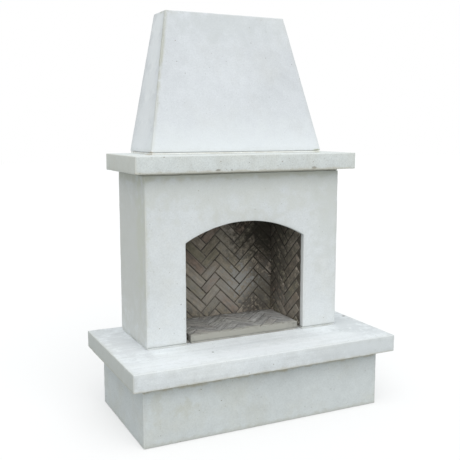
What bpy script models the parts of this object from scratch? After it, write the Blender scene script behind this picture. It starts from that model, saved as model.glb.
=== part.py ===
"""A modular cast concrete outdoor fireplace with a refractory firebox.

Metres, +Z up, the opening facing -Y. The origin lies on the ground, in the middle of the hearth's footprint.
"""

import math

import bmesh
import bpy
from mathutils import Matrix, Vector

OBJECT_NAME = "outdoor_fireplace"

# Fits: the clearance between pieces that touch, how far a cutter runs past, and the distance at which points weld
SEAT = 0.0003
OVERRUN = 0.010
WELD = 0.00001

# Mortar between the castings, set back from their faces
MORTAR_BED = 0.010
MORTAR_RECESS = 0.006

# Eased edge that every casting leaves its mould with
ARRIS = 0.005
ARRIS_STEPS = 2

# Hearth base
BASE_WIDTH = 1.454
BASE_DEPTH = 0.725
BASE_HEIGHT = 0.322
BASE_WALL = 0.045
SUPPORT_WALL = 0.060

# Hearth slab: a skin on a rim and two ribs
SLAB_OVERHANG = 0.073
SLAB_THICKNESS = 0.100
SLAB_SKIN = 0.040
SLAB_RIB = 0.090

# Body with its opening
BODY_WIDTH = 1.220
BODY_DEPTH = 0.460
BODY_HEIGHT = 0.940
BODY_WALL = 0.038
OPENING_WIDTH = 0.750
OPENING_SPRING = 0.563
OPENING_RISE = 0.103
ARCH_STEPS = 28

# Rear panels, between the side walls of the base and of the body
REAR_PANEL = 0.030
REAR_PANEL_JOINT = 0.003

# Mantel, flush with the body at the back
MANTEL_OVERHANG = 0.072
MANTEL_THICKNESS = 0.096
MANTEL_FLUE_CLEARANCE = 0.012

# Chimney, its back upright and its other sides drawn in
CHIMNEY_FOOT_WIDTH = 1.076
CHIMNEY_FOOT_DEPTH = 0.377
CHIMNEY_TOP_WIDTH = 0.756
CHIMNEY_TOP_DEPTH = 0.187
CHIMNEY_HEIGHT = 0.785
CHIMNEY_WALL = 0.038

# Firebox room and its refractory panels
ROOM_FRONT_WIDTH = 0.740
ROOM_BACK_WIDTH = 0.700
PANEL_THICKNESS = 0.040
PANEL_COVER = 0.042
FLOOR_RECESS = 0.012
FLOOR_GAP = 0.003
FLOOR_BACK_GAP = 0.004
INSULATION = 0.025
INSULATION_INSET = 0.006
REAR_AIR_GAP = 0.005

# Herringbone face of the panels: bricks laid at 45 degrees with their joint. Each panel has a peak of the pattern at
# a share of its length and, above its foot, at a share of a row; one column beside the back's peak has short bricks
BRICK_LENGTH = 0.188
BRICK_WIDTH = 0.0545
SHORT_BRICK_LENGTH = 0.1335
BRICK_JOINT = 0.007
JOINT_DEPTH = 0.004
BRICK_MARGIN = 0.001
BACK_PEAK_SHARES = (0.5, 0.54)
LEFT_PEAK_SHARES = (0.82, 0.26)
RIGHT_PEAK_SHARES = (0.18, 0.26)
FLOOR_PEAK_SHARES = (0.5, 0.3)

# Steel angle over the opening
LINTEL_LEG = 0.050
LINTEL_THICKNESS = 0.005
LINTEL_BEARING = 0.025

# Smoke chamber, a cast hood from the room to the flue
CHAMBER_LAP = 0.025
CHAMBER_LIP = 0.005
CHAMBER_WALL = 0.018
CHAMBER_TOP_GAP = 0.010
CHAMBER_BACK_GAP = 0.004
CHAMBER_OUTER_SHARES = (0.26, 0.90)
CHAMBER_INNER_SHARES = (0.06, 0.72)
GASKET_INSET = 0.003

# Flue, a flat steel duct
FLUE_WIDTH = 0.450
FLUE_SHEET = 0.003
FLUE_CORNER_RADIUS = 0.014
FLUE_CORNER_STEPS = 4
FLUE_FLANGE = 0.012
FLUE_STAND = 0.008

# Chimney mouth
MOUTH_GAP = 0.012
MOUTH_RECESS = 0.045
MOUTH_PLATE = 0.003
MOUTH_PLATE_GAP = 0.0015
ARRESTOR_GAP = 0.002
ARRESTOR_BAR = 0.005
ARRESTOR_HEIGHT = 0.022
ARRESTOR_MESH = 0.002
ARRESTOR_MESH_LIP = 0.006
ARRESTOR_WIRE = 0.004
ARRESTOR_PITCH = 0.022

# Steel angles and clips
ANGLE_LEG = 0.040
ANGLE_THICKNESS = 0.004
ANGLE_END_GAP = 0.030
CLIP_LEG = 0.042
CLIP_THICKNESS = 0.003
CLIP_WIDTH = 0.040
CLIP_BOARD_GAP = 0.004
CLIP_HEIGHT_SHARES = (0.22, 0.78)
MOUTH_ANGLE_LEG = 0.032
MOUTH_ANGLE_LENGTH = 0.060

# Pan-head screws
SCREW_RADIUS = 0.004
SCREW_HEAD_RADIUS = 0.0085
SCREW_HEAD_HEIGHT = 0.0045
SCREW_HEAD_EDGE_SHARE = 0.55
SCREW_STEPS = 10
SCREW_GRIP = 0.022
SCREW_TIP = 0.002
LEG_MIDDLE_SHARE = 0.6
BASE_PANEL_SCREW_SHARES = (0.2, 0.8)
BASE_ANGLE_SCREW_SHARES = (0.5,)
BODY_PANEL_SCREW_SHARES = (0.12, 0.88)
BODY_ANGLE_SCREW_SHARES = (0.28, 0.72)

# Sides and levels by name
SIDES = (("left", -1), ("right", 1))
LEVELS = ("lower", "upper")

# Levels, from the ground up
SLAB_Z = BASE_HEIGHT + MORTAR_BED
SLAB_TOP_Z = SLAB_Z + SLAB_THICKNESS
BODY_Z = SLAB_TOP_Z + MORTAR_BED
BODY_TOP_Z = BODY_Z + BODY_HEIGHT
MANTEL_Z = BODY_TOP_Z + MORTAR_BED
MANTEL_TOP_Z = MANTEL_Z + MANTEL_THICKNESS
CHIMNEY_Z = MANTEL_TOP_Z + MORTAR_BED
CHIMNEY_TOP_Z = CHIMNEY_Z + CHIMNEY_HEIGHT

# Planes, from front to back; one plane holds the backs of the base, body, mantel and chimney
BACK_Y = BASE_DEPTH / 2
BASE_FRONT_Y = -BASE_DEPTH / 2
BODY_FRONT_Y = BACK_Y - BODY_DEPTH
BODY_INNER_Y = BODY_FRONT_Y + BODY_WALL
REAR_INNER_Y = BACK_Y - REAR_PANEL
ROOM_BACK_Y = REAR_INNER_Y - REAR_AIR_GAP - INSULATION - PANEL_THICKNESS
ROOM_FRONT_Y = BODY_INNER_Y + SEAT

# Firebox room
PANEL_HEIGHT = OPENING_SPRING + OPENING_RISE + PANEL_COVER
PANEL_TOP_Z = BODY_Z + PANEL_HEIGHT
ROOM_SPLAY = math.atan2((ROOM_FRONT_WIDTH - ROOM_BACK_WIDTH) / 2, ROOM_BACK_Y - ROOM_FRONT_Y)
SIDE_PANEL_LENGTH = ((ROOM_BACK_Y - SEAT - ROOM_FRONT_Y - PANEL_THICKNESS * math.sin(ROOM_SPLAY))
                     / math.cos(ROOM_SPLAY))
BACK_PANEL_WIDTH = ROOM_BACK_WIDTH + 2 * PANEL_THICKNESS
FLOOR_WIDTH = ROOM_BACK_WIDTH - 2 * FLOOR_GAP
FLOOR_FRONT_Y = BODY_FRONT_Y + FLOOR_RECESS
FLOOR_DEPTH = ROOM_BACK_Y - FLOOR_BACK_GAP - FLOOR_FRONT_Y

# Smoke chamber and flue
CHAMBER_Z = PANEL_TOP_Z + LINTEL_THICKNESS + 2 * SEAT
CHAMBER_TOP_Z = BODY_TOP_Z - CHAMBER_TOP_GAP
FLUE_BACK_Y = BACK_Y - max(CHIMNEY_WALL + MOUTH_GAP, REAR_PANEL + CHAMBER_BACK_GAP + CHAMBER_WALL - FLUE_SHEET)
FLUE_FRONT_Y = BACK_Y - CHIMNEY_TOP_DEPTH + CHIMNEY_WALL + MOUTH_GAP
FLUE_DEPTH = FLUE_BACK_Y - FLUE_FRONT_Y
FLUE_MIDDLE_Y = (FLUE_BACK_Y + FLUE_FRONT_Y) / 2
FLUE_Z = CHAMBER_TOP_Z + SEAT
MOUTH_PLATE_Z = CHIMNEY_TOP_Z - MOUTH_RECESS
FLUE_TOP_Z = MOUTH_PLATE_Z + MOUTH_PLATE + FLUE_STAND
ARRESTOR_Z = MOUTH_PLATE_Z + MOUTH_PLATE + SEAT

# Finishes: base colour, roughness and metallic value
FINISHES = {
    "cast_concrete": ((0.70, 0.72, 0.72), 0.85, 0.0),
    "refractory": ((0.13, 0.115, 0.10), 0.92, 0.0),
    "mortar": ((0.45, 0.45, 0.43), 0.95, 0.0),
    "insulation": ((0.82, 0.80, 0.74), 0.95, 0.0),
    "fibre_gasket": ((0.85, 0.84, 0.80), 0.98, 0.0),
    "galvanised_steel": ((0.50, 0.52, 0.54), 0.45, 0.9),
    "stainless_steel": ((0.62, 0.61, 0.60), 0.32, 1.0),
}


def clear_scene():
    """Remove what the scene holds and make the two collections."""
    for old in list(bpy.data.objects):
        bpy.data.objects.remove(old, do_unlink=True)
    for name in (OBJECT_NAME, "cutters"):
        if name not in bpy.data.collections:
            bpy.context.scene.collection.children.link(bpy.data.collections.new(name))


def finish_material(name):
    """The named finish as a material."""
    material = bpy.data.materials.get(name)
    if material is None:
        colour, roughness, metallic = FINISHES[name]
        material = bpy.data.materials.new(name)
        material.use_nodes = True
        shader = material.node_tree.nodes["Principled BSDF"]
        shader.inputs["Base Color"].default_value = (*colour, 1.0)
        shader.inputs["Roughness"].default_value = roughness
        shader.inputs["Metallic"].default_value = metallic
        material.diffuse_color = (*colour, 1.0)
    return material


def add_object(name, mesh, finish, location=(0.0, 0.0, 0.0), parent=None):
    """Link a mesh as a piece with its own material or, where it has no finish, as a cutter."""
    piece = bpy.data.objects.new(name, mesh)
    piece.location = location
    piece.parent = parent
    if finish is None:
        bpy.data.collections["cutters"].objects.link(piece)
        piece.hide_render = True
        piece.display_type = "WIRE"
    else:
        bpy.data.collections[OBJECT_NAME].objects.link(piece)
        material = finish_material(finish).copy()
        material.name = name
        mesh.materials.clear()
        mesh.materials.append(material)
    return piece


def mesh_of(name, shape):
    """Turn a bmesh into a mesh."""
    mesh = bpy.data.meshes.new(name)
    shape.to_mesh(mesh)
    shape.free()
    return mesh


def box(name, low, high, finish=None, parent=None):
    """A block between two corners."""
    low, high = Vector(low), Vector(high)
    shape = bmesh.new()
    bmesh.ops.create_cube(shape, size=1.0)
    bmesh.ops.scale(shape, vec=high - low, verts=shape.verts)
    return add_object(name, mesh_of(name, shape), finish, (low + high) / 2, parent)


def mesh_from(source, name):
    """The evaluated mesh of an object, welded and facing out; the object is removed."""
    bpy.context.view_layer.update()
    evaluated = source.evaluated_get(bpy.context.evaluated_depsgraph_get())
    mesh = bpy.data.meshes.new_from_object(evaluated)
    mesh.name = name
    bpy.data.objects.remove(source, do_unlink=True)
    shape = bmesh.new()
    shape.from_mesh(mesh)
    bmesh.ops.remove_doubles(shape, verts=shape.verts, dist=WELD)
    bmesh.ops.recalc_face_normals(shape, faces=shape.faces)
    shape.to_mesh(mesh)
    shape.free()
    return mesh


def prism_mesh(name, outlines, thickness):
    """A flat outline, followed by those of its holes, as a solid centred on its own XY plane."""
    curve = bpy.data.curves.new(name, "CURVE")
    curve.dimensions = "2D"
    curve.fill_mode = "BOTH"
    curve.extrude = thickness / 2
    for outline in outlines:
        spline = curve.splines.new("POLY")
        spline.points.add(len(outline) - 1)
        for point, (x, y) in zip(spline.points, outline):
            point.co = (x, y, 0.0, 1.0)
        spline.use_cyclic_u = True
    source = bpy.data.objects.new(name, curve)
    bpy.data.collections["cutters"].objects.link(source)
    return mesh_from(source, name)


def prism(name, outlines, thickness, finish=None, location=(0.0, 0.0, 0.0)):
    """The same solid as an object."""
    return add_object(name, prism_mesh(name, outlines, thickness), finish, location)


def turned_mesh(name, profile, steps):
    """A solid turned about Z from a profile that runs from the top of the axis to its foot."""
    mesh = bpy.data.meshes.new(name)
    mesh.from_pydata([(radius, 0.0, height) for radius, height in profile],
                     [(i, i + 1) for i in range(len(profile) - 1)], [])
    source = bpy.data.objects.new(name, mesh)
    bpy.data.collections["cutters"].objects.link(source)
    turn = source.modifiers.new("turn", "SCREW")
    turn.steps = steps
    turn.render_steps = steps
    turn.use_merge_vertices = True
    turn.merge_threshold = WELD
    return mesh_from(source, name)


def loft(name, rings, finish=None):
    """A solid through rings of equally many corners, from the lowest ring to the highest."""
    shape = bmesh.new()
    levels = [[shape.verts.new(corner) for corner in ring] for ring in rings]
    count = len(rings[0])
    for lower, upper in zip(levels, levels[1:]):
        for i in range(count):
            j = (i + 1) % count
            shape.faces.new((lower[i], lower[j], upper[j], upper[i]))
    shape.faces.new(list(reversed(levels[0])))
    shape.faces.new(levels[-1])
    bmesh.ops.recalc_face_normals(shape, faces=shape.faces)
    return add_object(name, mesh_of(name, shape), finish)


def combine(piece, other, operation="DIFFERENCE"):
    """Add a Boolean modifier to a piece."""
    step = piece.modifiers.new(other.name, "BOOLEAN")
    step.operation = operation
    step.solver = "EXACT"
    step.object = other


def ease(piece):
    """Ease every edge of a block."""
    arris = piece.modifiers.new("arris", "BEVEL")
    arris.width = ARRIS
    arris.segments = ARRIS_STEPS
    arris.limit_method = "ANGLE"


def smooth(piece, degrees=40):
    """Shade round faces smooth and keep the edges between flat ones."""
    piece.data.shade_smooth()
    piece.data.set_sharp_from_angle(angle=math.radians(degrees))


def rectangle(low_x, low_y, high_x, high_y):
    """Corners of an upright rectangle."""
    return [(low_x, low_y), (high_x, low_y), (high_x, high_y), (low_x, high_y)]


def rounded_rectangle(width, depth, radius, steps):
    """Corners of a rectangle about the origin whose corners are arcs."""
    outline = []
    for quarter in range(4):
        side_x = 1 if quarter in (0, 3) else -1
        side_y = 1 if quarter in (0, 1) else -1
        centre_x, centre_y = side_x * (width / 2 - radius), side_y * (depth / 2 - radius)
        for i in range(steps + 1):
            angle = (quarter + i / steps) * math.pi / 2
            outline.append((centre_x + radius * math.cos(angle), centre_y + radius * math.sin(angle)))
    return outline


def bent_outline(corner, leg_a, leg_b, thickness):
    """Outline of a strip bent at a corner: two legs, given as vectors, with their thickness inside the bend."""
    corner, leg_a, leg_b = Vector(corner), Vector(leg_a), Vector(leg_b)

    def inward(leg, other):
        across = Vector((-leg.y, leg.x)).normalized()
        return across if across.dot(other) > 0 else -across

    in_a, in_b = inward(leg_a, leg_b) * thickness, inward(leg_b, leg_a) * thickness
    square = thickness * thickness
    spread = in_a.x * in_b.y - in_a.y * in_b.x
    inner = Vector(((in_b.y - in_a.y) * square / spread, (in_a.x - in_b.x) * square / spread))
    return [tuple(p) for p in (corner, corner + leg_a, corner + leg_a + in_a, corner + inner,
                               corner + leg_b + in_b, corner + leg_b)]


def level_ring(corners, level):
    """A rectangle from low and high corners as a ring at a level."""
    return [(x, y, level) for x, y in rectangle(*corners)]


def fix(places, length):
    """Pan-head screws at places: a name, the point under the head, the way the head faces and what is bored."""
    edge = SCREW_HEAD_HEIGHT * SCREW_HEAD_EDGE_SHARE
    profile = [(0.0, SCREW_HEAD_HEIGHT), (SCREW_HEAD_RADIUS - edge, SCREW_HEAD_HEIGHT),
               (SCREW_HEAD_RADIUS, SCREW_HEAD_HEIGHT - edge), (SCREW_HEAD_RADIUS, 0.0), (SCREW_RADIUS, 0.0),
               (SCREW_RADIUS, -length), (0.0, -length)]
    bore = [(0.0, OVERRUN), (SCREW_RADIUS + SEAT, OVERRUN), (SCREW_RADIUS + SEAT, -length - SCREW_TIP),
            (0.0, -length - SCREW_TIP)]
    for name, point, direction, bored in places:
        direction = Vector(direction).normalized()
        place = Vector(point) + direction * SEAT
        turn = direction.to_track_quat("Z", "Y").to_euler()
        screw = add_object(name, turned_mesh(name, profile, SCREW_STEPS), "stainless_steel", place)
        screw.rotation_euler = turn
        smooth(screw)
        hole = add_object(name + "_bore", turned_mesh(name + "_bore", bore, SCREW_STEPS), None, place)
        hole.rotation_euler = turn
        for piece in bored:
            combine(piece, hole)


def herringbone(name, length, height, peak_shares, first_brick, parent):
    """Bricks at 45 degrees over a face in the XZ plane, cut to the face and standing out towards -Y.

    Columns of rising and falling bricks go out both ways from a peak; first_brick is the length in the first one on
    the left. A corner of a brick is held as its distances along the rising and the falling joints.
    """
    step = BRICK_WIDTH * math.sqrt(2)
    peak_u, peak_v = length * peak_shares[0], step * peak_shares[1]
    rise = Vector((1.0, 1.0)) / math.sqrt(2)
    fall = Vector((-1.0, 1.0)) / math.sqrt(2)
    width = BRICK_WIDTH
    blocks = []
    corner, brick, rising = Vector((0.0, 0.0)), first_brick, True
    while peak_u + (corner.x - corner.y) / math.sqrt(2) > 0.0:
        if rising:
            blocks.append((corner.x - width - brick, corner.y - width, brick, width))
            corner = corner - Vector((width + brick, width))
        else:
            blocks.append((corner.x - width, corner.y, width, brick))
            corner = corner + Vector((0.0, brick))
        brick, rising = BRICK_LENGTH, not rising
    corner, brick, rising = Vector((0.0, 0.0)), BRICK_LENGTH, False
    while peak_u + (corner.x - corner.y) / math.sqrt(2) < length:
        if rising:
            blocks.append((corner.x, corner.y, brick, width))
            corner = corner + Vector((brick + width, width))
        else:
            blocks.append((corner.x - width, corner.y - brick, width, brick))
            corner = corner - Vector((0.0, brick))
        rising = not rising

    depth = JOINT_DEPTH + OVERRUN
    slant = Matrix.Rotation(-math.pi / 4, 4, "Y")
    shape = bmesh.new()
    for along, across, size_along, size_across in blocks:
        middle = rise * (along + size_along / 2) + fall * (across + size_across / 2)
        reach = (size_along + size_across) / (2 * math.sqrt(2))
        size = Matrix.Diagonal((size_along - BRICK_JOINT, depth, size_across - BRICK_JOINT, 1.0))
        u, v = peak_u + middle.x, peak_v + middle.y
        v -= step * math.ceil((v + reach) / step)
        while v - reach < height:
            if v + reach > 0.0 and -reach < u < length + reach:
                bmesh.ops.create_cube(shape, size=1.0, matrix=Matrix.Translation((u, depth / 2, v)) @ slant @ size)
            v += step
    bricks = add_object(name + "_bricks", mesh_of(name, shape), None, parent=parent)
    face = box(name + "_face", (BRICK_MARGIN, -OVERRUN, BRICK_MARGIN),
               (length - BRICK_MARGIN, depth + OVERRUN, height - BRICK_MARGIN), parent=parent)
    combine(bricks, face, "INTERSECT")
    return bricks


def lined_panel(name, length, height, peak_shares, location, rotation, first_brick=BRICK_LENGTH):
    """A refractory panel with a brick face in its own XZ plane; its empty carries whatever lies against it."""
    frame = bpy.data.objects.new(name + "_frame", None)
    bpy.data.collections[OBJECT_NAME].objects.link(frame)
    frame.location = location
    frame.rotation_euler = rotation
    panel = box(name, (0.0, JOINT_DEPTH, 0.0), (length, PANEL_THICKNESS, height), "refractory", frame)
    combine(panel, herringbone(name, length, height, peak_shares, first_brick, frame), "UNION")
    return panel, frame


def bed(name, low, high, wall, rear_wall, strips=()):
    """A ring of mortar between walls of two castings, set back from their faces, with strips across between edges."""
    low_x, low_y, low_z = low
    high_x, high_y, high_z = high
    ring = box(name, (low_x + MORTAR_RECESS, low_y + MORTAR_RECESS, low_z + SEAT),
               (high_x - MORTAR_RECESS, high_y - MORTAR_RECESS, high_z - SEAT), "mortar")
    inner_low = Vector((low_x + wall - MORTAR_RECESS, low_y + wall - MORTAR_RECESS, low_z - OVERRUN))
    inner_high = Vector((high_x - wall + MORTAR_RECESS, high_y - rear_wall + MORTAR_RECESS, high_z + OVERRUN))
    edges = [inner_low.x, *strips, inner_high.x]
    for i in range(0, len(edges), 2):
        pocket = box(f"{name}_pocket_{i // 2}", (edges[i], inner_low.y, inner_low.z),
                     (edges[i + 1], inner_high.y, inner_high.z))
        combine(ring, pocket)
    return ring


def u_casting(name, width, front_y, low_z, height, wall, opening=None):
    """A casting of a front, with an opening where one is given, and two side walls, open behind and at both ends."""
    casting = box(name, (-width / 2, front_y, low_z), (width / 2, BACK_Y, low_z + height), "cast_concrete")
    hollow = box(name + "_hollow", (-width / 2 + wall, front_y + wall, low_z - OVERRUN),
                 (width / 2 - wall, BACK_Y + OVERRUN, low_z + height + OVERRUN))
    combine(casting, hollow)
    if opening:
        combine(casting, opening)
    ease(casting)
    return casting


def rear_closure(name, width, wall, low_z, height, casting, panel_shares, angle_shares):
    """A panel between a casting's side walls, screwed to an angle in each corner."""
    inner = width / 2 - wall
    panel = box(name + "_rear_panel", (-inner + REAR_PANEL_JOINT, REAR_INNER_Y, low_z),
                (inner - REAR_PANEL_JOINT, BACK_Y, low_z + height), "cast_concrete")
    ease(panel)
    corner_x, corner_y = inner - SEAT, REAR_INNER_Y - SEAT
    length = height - 2 * ANGLE_END_GAP
    foot = low_z + ANGLE_END_GAP
    middle_of_leg = ANGLE_LEG * LEG_MIDDLE_SHARE
    panel_places, angle_places = [], []
    for side_name, side in SIDES:
        outline = bent_outline((side * corner_x, corner_y), (-side * ANGLE_LEG, 0.0), (0.0, -ANGLE_LEG),
                               ANGLE_THICKNESS)
        angle = prism(f"{name}_rear_angle_{side_name}", [outline], length, "galvanised_steel",
                      (0.0, 0.0, foot + length / 2))
        for level, share in zip(LEVELS, panel_shares):
            panel_places.append((f"{name}_panel_screw_{side_name}_{level}",
                                 (side * (corner_x - middle_of_leg), BACK_Y, foot + length * share),
                                 (0.0, 1.0, 0.0), (panel, angle)))
        for level, share in zip(LEVELS, angle_shares):
            angle_places.append((f"{name}_angle_screw_{side_name}_{level}",
                                 (side * (corner_x - ANGLE_THICKNESS), corner_y - middle_of_leg,
                                  foot + length * share), (-side, 0.0, 0.0), (angle, casting)))
    fix(panel_places, REAR_PANEL + ANGLE_THICKNESS + SCREW_TIP)
    fix(angle_places, ANGLE_THICKNESS + SCREW_GRIP)


def make_hearth():
    """The base with its cross walls, the mortar on it and the slab."""
    base = u_casting("base_surround", BASE_WIDTH, BASE_FRONT_Y, 0.0, BASE_HEIGHT, BASE_WALL)
    rear_closure("base", BASE_WIDTH, BASE_WALL, 0.0, BASE_HEIGHT, base, BASE_PANEL_SCREW_SHARES,
                 BASE_ANGLE_SCREW_SHARES)
    strips = []
    for side_name, side in SIDES:
        middle = side * OPENING_WIDTH / 2
        box(f"support_wall_{side_name}", (middle - SUPPORT_WALL / 2, BASE_FRONT_Y + BASE_WALL + SEAT, 0.0),
            (middle + SUPPORT_WALL / 2, REAR_INNER_Y - SEAT, BASE_HEIGHT), "cast_concrete")
        strips += [middle - SUPPORT_WALL / 2 + MORTAR_RECESS, middle + SUPPORT_WALL / 2 - MORTAR_RECESS]
    bed("base_mortar_bed", (-BASE_WIDTH / 2, BASE_FRONT_Y, BASE_HEIGHT), (BASE_WIDTH / 2, BACK_Y, SLAB_Z),
        BASE_WALL, REAR_PANEL, strips)

    half_width = BASE_WIDTH / 2 + SLAB_OVERHANG
    half_depth = BASE_DEPTH / 2 + SLAB_OVERHANG
    slab = box("hearth_slab", (-half_width, -half_depth, SLAB_Z), (half_width, half_depth, SLAB_TOP_Z),
               "cast_concrete")
    rim_x = BASE_WIDTH / 2 - BASE_WALL
    rim_y = BASE_DEPTH / 2 - BASE_WALL
    rib_in, rib_out = OPENING_WIDTH / 2 - SLAB_RIB / 2, OPENING_WIDTH / 2 + SLAB_RIB / 2
    for name, left, right in (("left", -rim_x, -rib_out), ("middle", -rib_in, rib_in), ("right", rib_out, rim_x)):
        combine(slab, box(f"hearth_slab_pocket_{name}", (left, -rim_y, SLAB_Z - OVERRUN),
                          (right, rim_y, SLAB_TOP_Z - SLAB_SKIN)))
    ease(slab)


def arch_outline():
    """The opening as seen from the front: upright sides and a low arc, about the middle of its sill."""
    half = OPENING_WIDTH / 2
    radius = (half * half + OPENING_RISE * OPENING_RISE) / (2 * OPENING_RISE)
    centre = OPENING_SPRING + OPENING_RISE - radius
    sweep = math.asin(half / radius)
    outline = [(-half, -OVERRUN), (half, -OVERRUN)]
    for i in range(ARCH_STEPS + 1):
        angle = sweep * (1 - 2 * i / ARCH_STEPS)
        outline.append((radius * math.sin(angle), centre + radius * math.cos(angle)))
    return outline


def make_body():
    """The body with its arched opening, its rear panel and the mortar under it."""
    opening = prism("body_opening", [arch_outline()], BODY_WALL + 2 * OVERRUN, None,
                    (0.0, BODY_FRONT_Y + BODY_WALL / 2, BODY_Z))
    opening.rotation_euler = (math.pi / 2, 0.0, 0.0)
    body = u_casting("body_surround", BODY_WIDTH, BODY_FRONT_Y, BODY_Z, BODY_HEIGHT, BODY_WALL, opening)
    rear_closure("body", BODY_WIDTH, BODY_WALL, BODY_Z, BODY_HEIGHT, body, BODY_PANEL_SCREW_SHARES,
                 BODY_ANGLE_SCREW_SHARES)
    ring = bed("body_mortar_bed", (-BODY_WIDTH / 2, BODY_FRONT_Y, SLAB_TOP_Z), (BODY_WIDTH / 2, BACK_Y, BODY_Z),
               BODY_WALL, REAR_PANEL)
    doorway = box("body_mortar_bed_doorway", (-OPENING_WIDTH / 2, BODY_FRONT_Y - OVERRUN, SLAB_TOP_Z - OVERRUN),
                  (OPENING_WIDTH / 2, BODY_INNER_Y + OVERRUN, BODY_Z + OVERRUN))
    combine(ring, doorway)
    return body


def make_firebox(body):
    """The floor, back and side panels on their mortar, the boards behind them and the clips that hold them."""
    outer = ROOM_FRONT_WIDTH / 2 + PANEL_THICKNESS + INSULATION
    sill = FLOOR_WIDTH / 2 - MORTAR_RECESS
    behind = BODY_INNER_Y + MORTAR_RECESS
    front = FLOOR_FRONT_Y + MORTAR_RECESS
    back = ROOM_BACK_Y + PANEL_THICKNESS + INSULATION
    outline = [(-sill, front), (sill, front), (sill, behind), (outer, behind), (outer, back), (-outer, back),
               (-outer, behind), (-sill, behind)]
    prism("firebox_mortar_bed", [outline], MORTAR_BED - 2 * SEAT, "mortar", (0.0, 0.0, SLAB_TOP_Z + MORTAR_BED / 2))

    lined_panel("firebox_floor", FLOOR_WIDTH, FLOOR_DEPTH, FLOOR_PEAK_SHARES,
                (-FLOOR_WIDTH / 2, FLOOR_FRONT_Y, BODY_Z + PANEL_THICKNESS), (-math.pi / 2, 0.0, 0.0))
    lined_panel("firebox_back_panel", BACK_PANEL_WIDTH, PANEL_HEIGHT, BACK_PEAK_SHARES,
                (-BACK_PANEL_WIDTH / 2, ROOM_BACK_Y, BODY_Z), (0.0, 0.0, 0.0), SHORT_BRICK_LENGTH)
    board_y = ROOM_BACK_Y + PANEL_THICKNESS + SEAT
    box("insulation_back", (-BACK_PANEL_WIDTH / 2 + INSULATION_INSET, board_y, BODY_Z),
        (BACK_PANEL_WIDTH / 2 - INSULATION_INSET, board_y + INSULATION, PANEL_TOP_Z), "insulation")

    places = []
    for (side_name, side), peak_shares in zip(SIDES, (LEFT_PEAK_SHARES, RIGHT_PEAK_SHARES)):
        along = Vector((-side * math.sin(ROOM_SPLAY), math.cos(ROOM_SPLAY)))
        outward = Vector((side * math.cos(ROOM_SPLAY), math.sin(ROOM_SPLAY)))
        front_corner = Vector((side * ROOM_FRONT_WIDTH / 2, ROOM_FRONT_Y))
        if side > 0:
            start_corner = front_corner + along * SIDE_PANEL_LENGTH
            board = (INSULATION_INSET, SIDE_PANEL_LENGTH - CLIP_LEG - CLIP_BOARD_GAP)
        else:
            start_corner = front_corner
            board = (CLIP_LEG + CLIP_BOARD_GAP, SIDE_PANEL_LENGTH - INSULATION_INSET)
        _, frame = lined_panel(f"firebox_{side_name}_panel", SIDE_PANEL_LENGTH, PANEL_HEIGHT, peak_shares,
                               (*start_corner, BODY_Z), (0.0, 0.0, side * (ROOM_SPLAY - math.pi / 2)))
        box(f"insulation_{side_name}", (board[0], PANEL_THICKNESS + SEAT, 0.0),
            (board[1], PANEL_THICKNESS + SEAT + INSULATION, PANEL_HEIGHT), "insulation", frame)

        behind_panel = front_corner + outward * (PANEL_THICKNESS + SEAT)
        corner = behind_panel + along * ((BODY_INNER_Y + SEAT - behind_panel.y) / along.y)
        outline = bent_outline(corner, (side * CLIP_LEG, 0.0), along * CLIP_LEG, CLIP_THICKNESS)
        for level, share in zip(LEVELS, CLIP_HEIGHT_SHARES):
            height = BODY_Z + PANEL_HEIGHT * share
            clip = prism(f"panel_clip_{side_name}_{level}", [outline], CLIP_WIDTH, "galvanised_steel",
                         (0.0, 0.0, height))
            places.append((f"clip_screw_{side_name}_{level}",
                           (corner.x + side * CLIP_LEG * LEG_MIDDLE_SHARE, corner.y + CLIP_THICKNESS, height),
                           (0.0, 1.0, 0.0), (clip, body)))
    fix(places, CLIP_THICKNESS + SCREW_GRIP)


def room_half_width(y):
    """Half the clear width between the side panels at a depth."""
    return ROOM_FRONT_WIDTH / 2 - (y - ROOM_FRONT_Y) * math.tan(ROOM_SPLAY)


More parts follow.
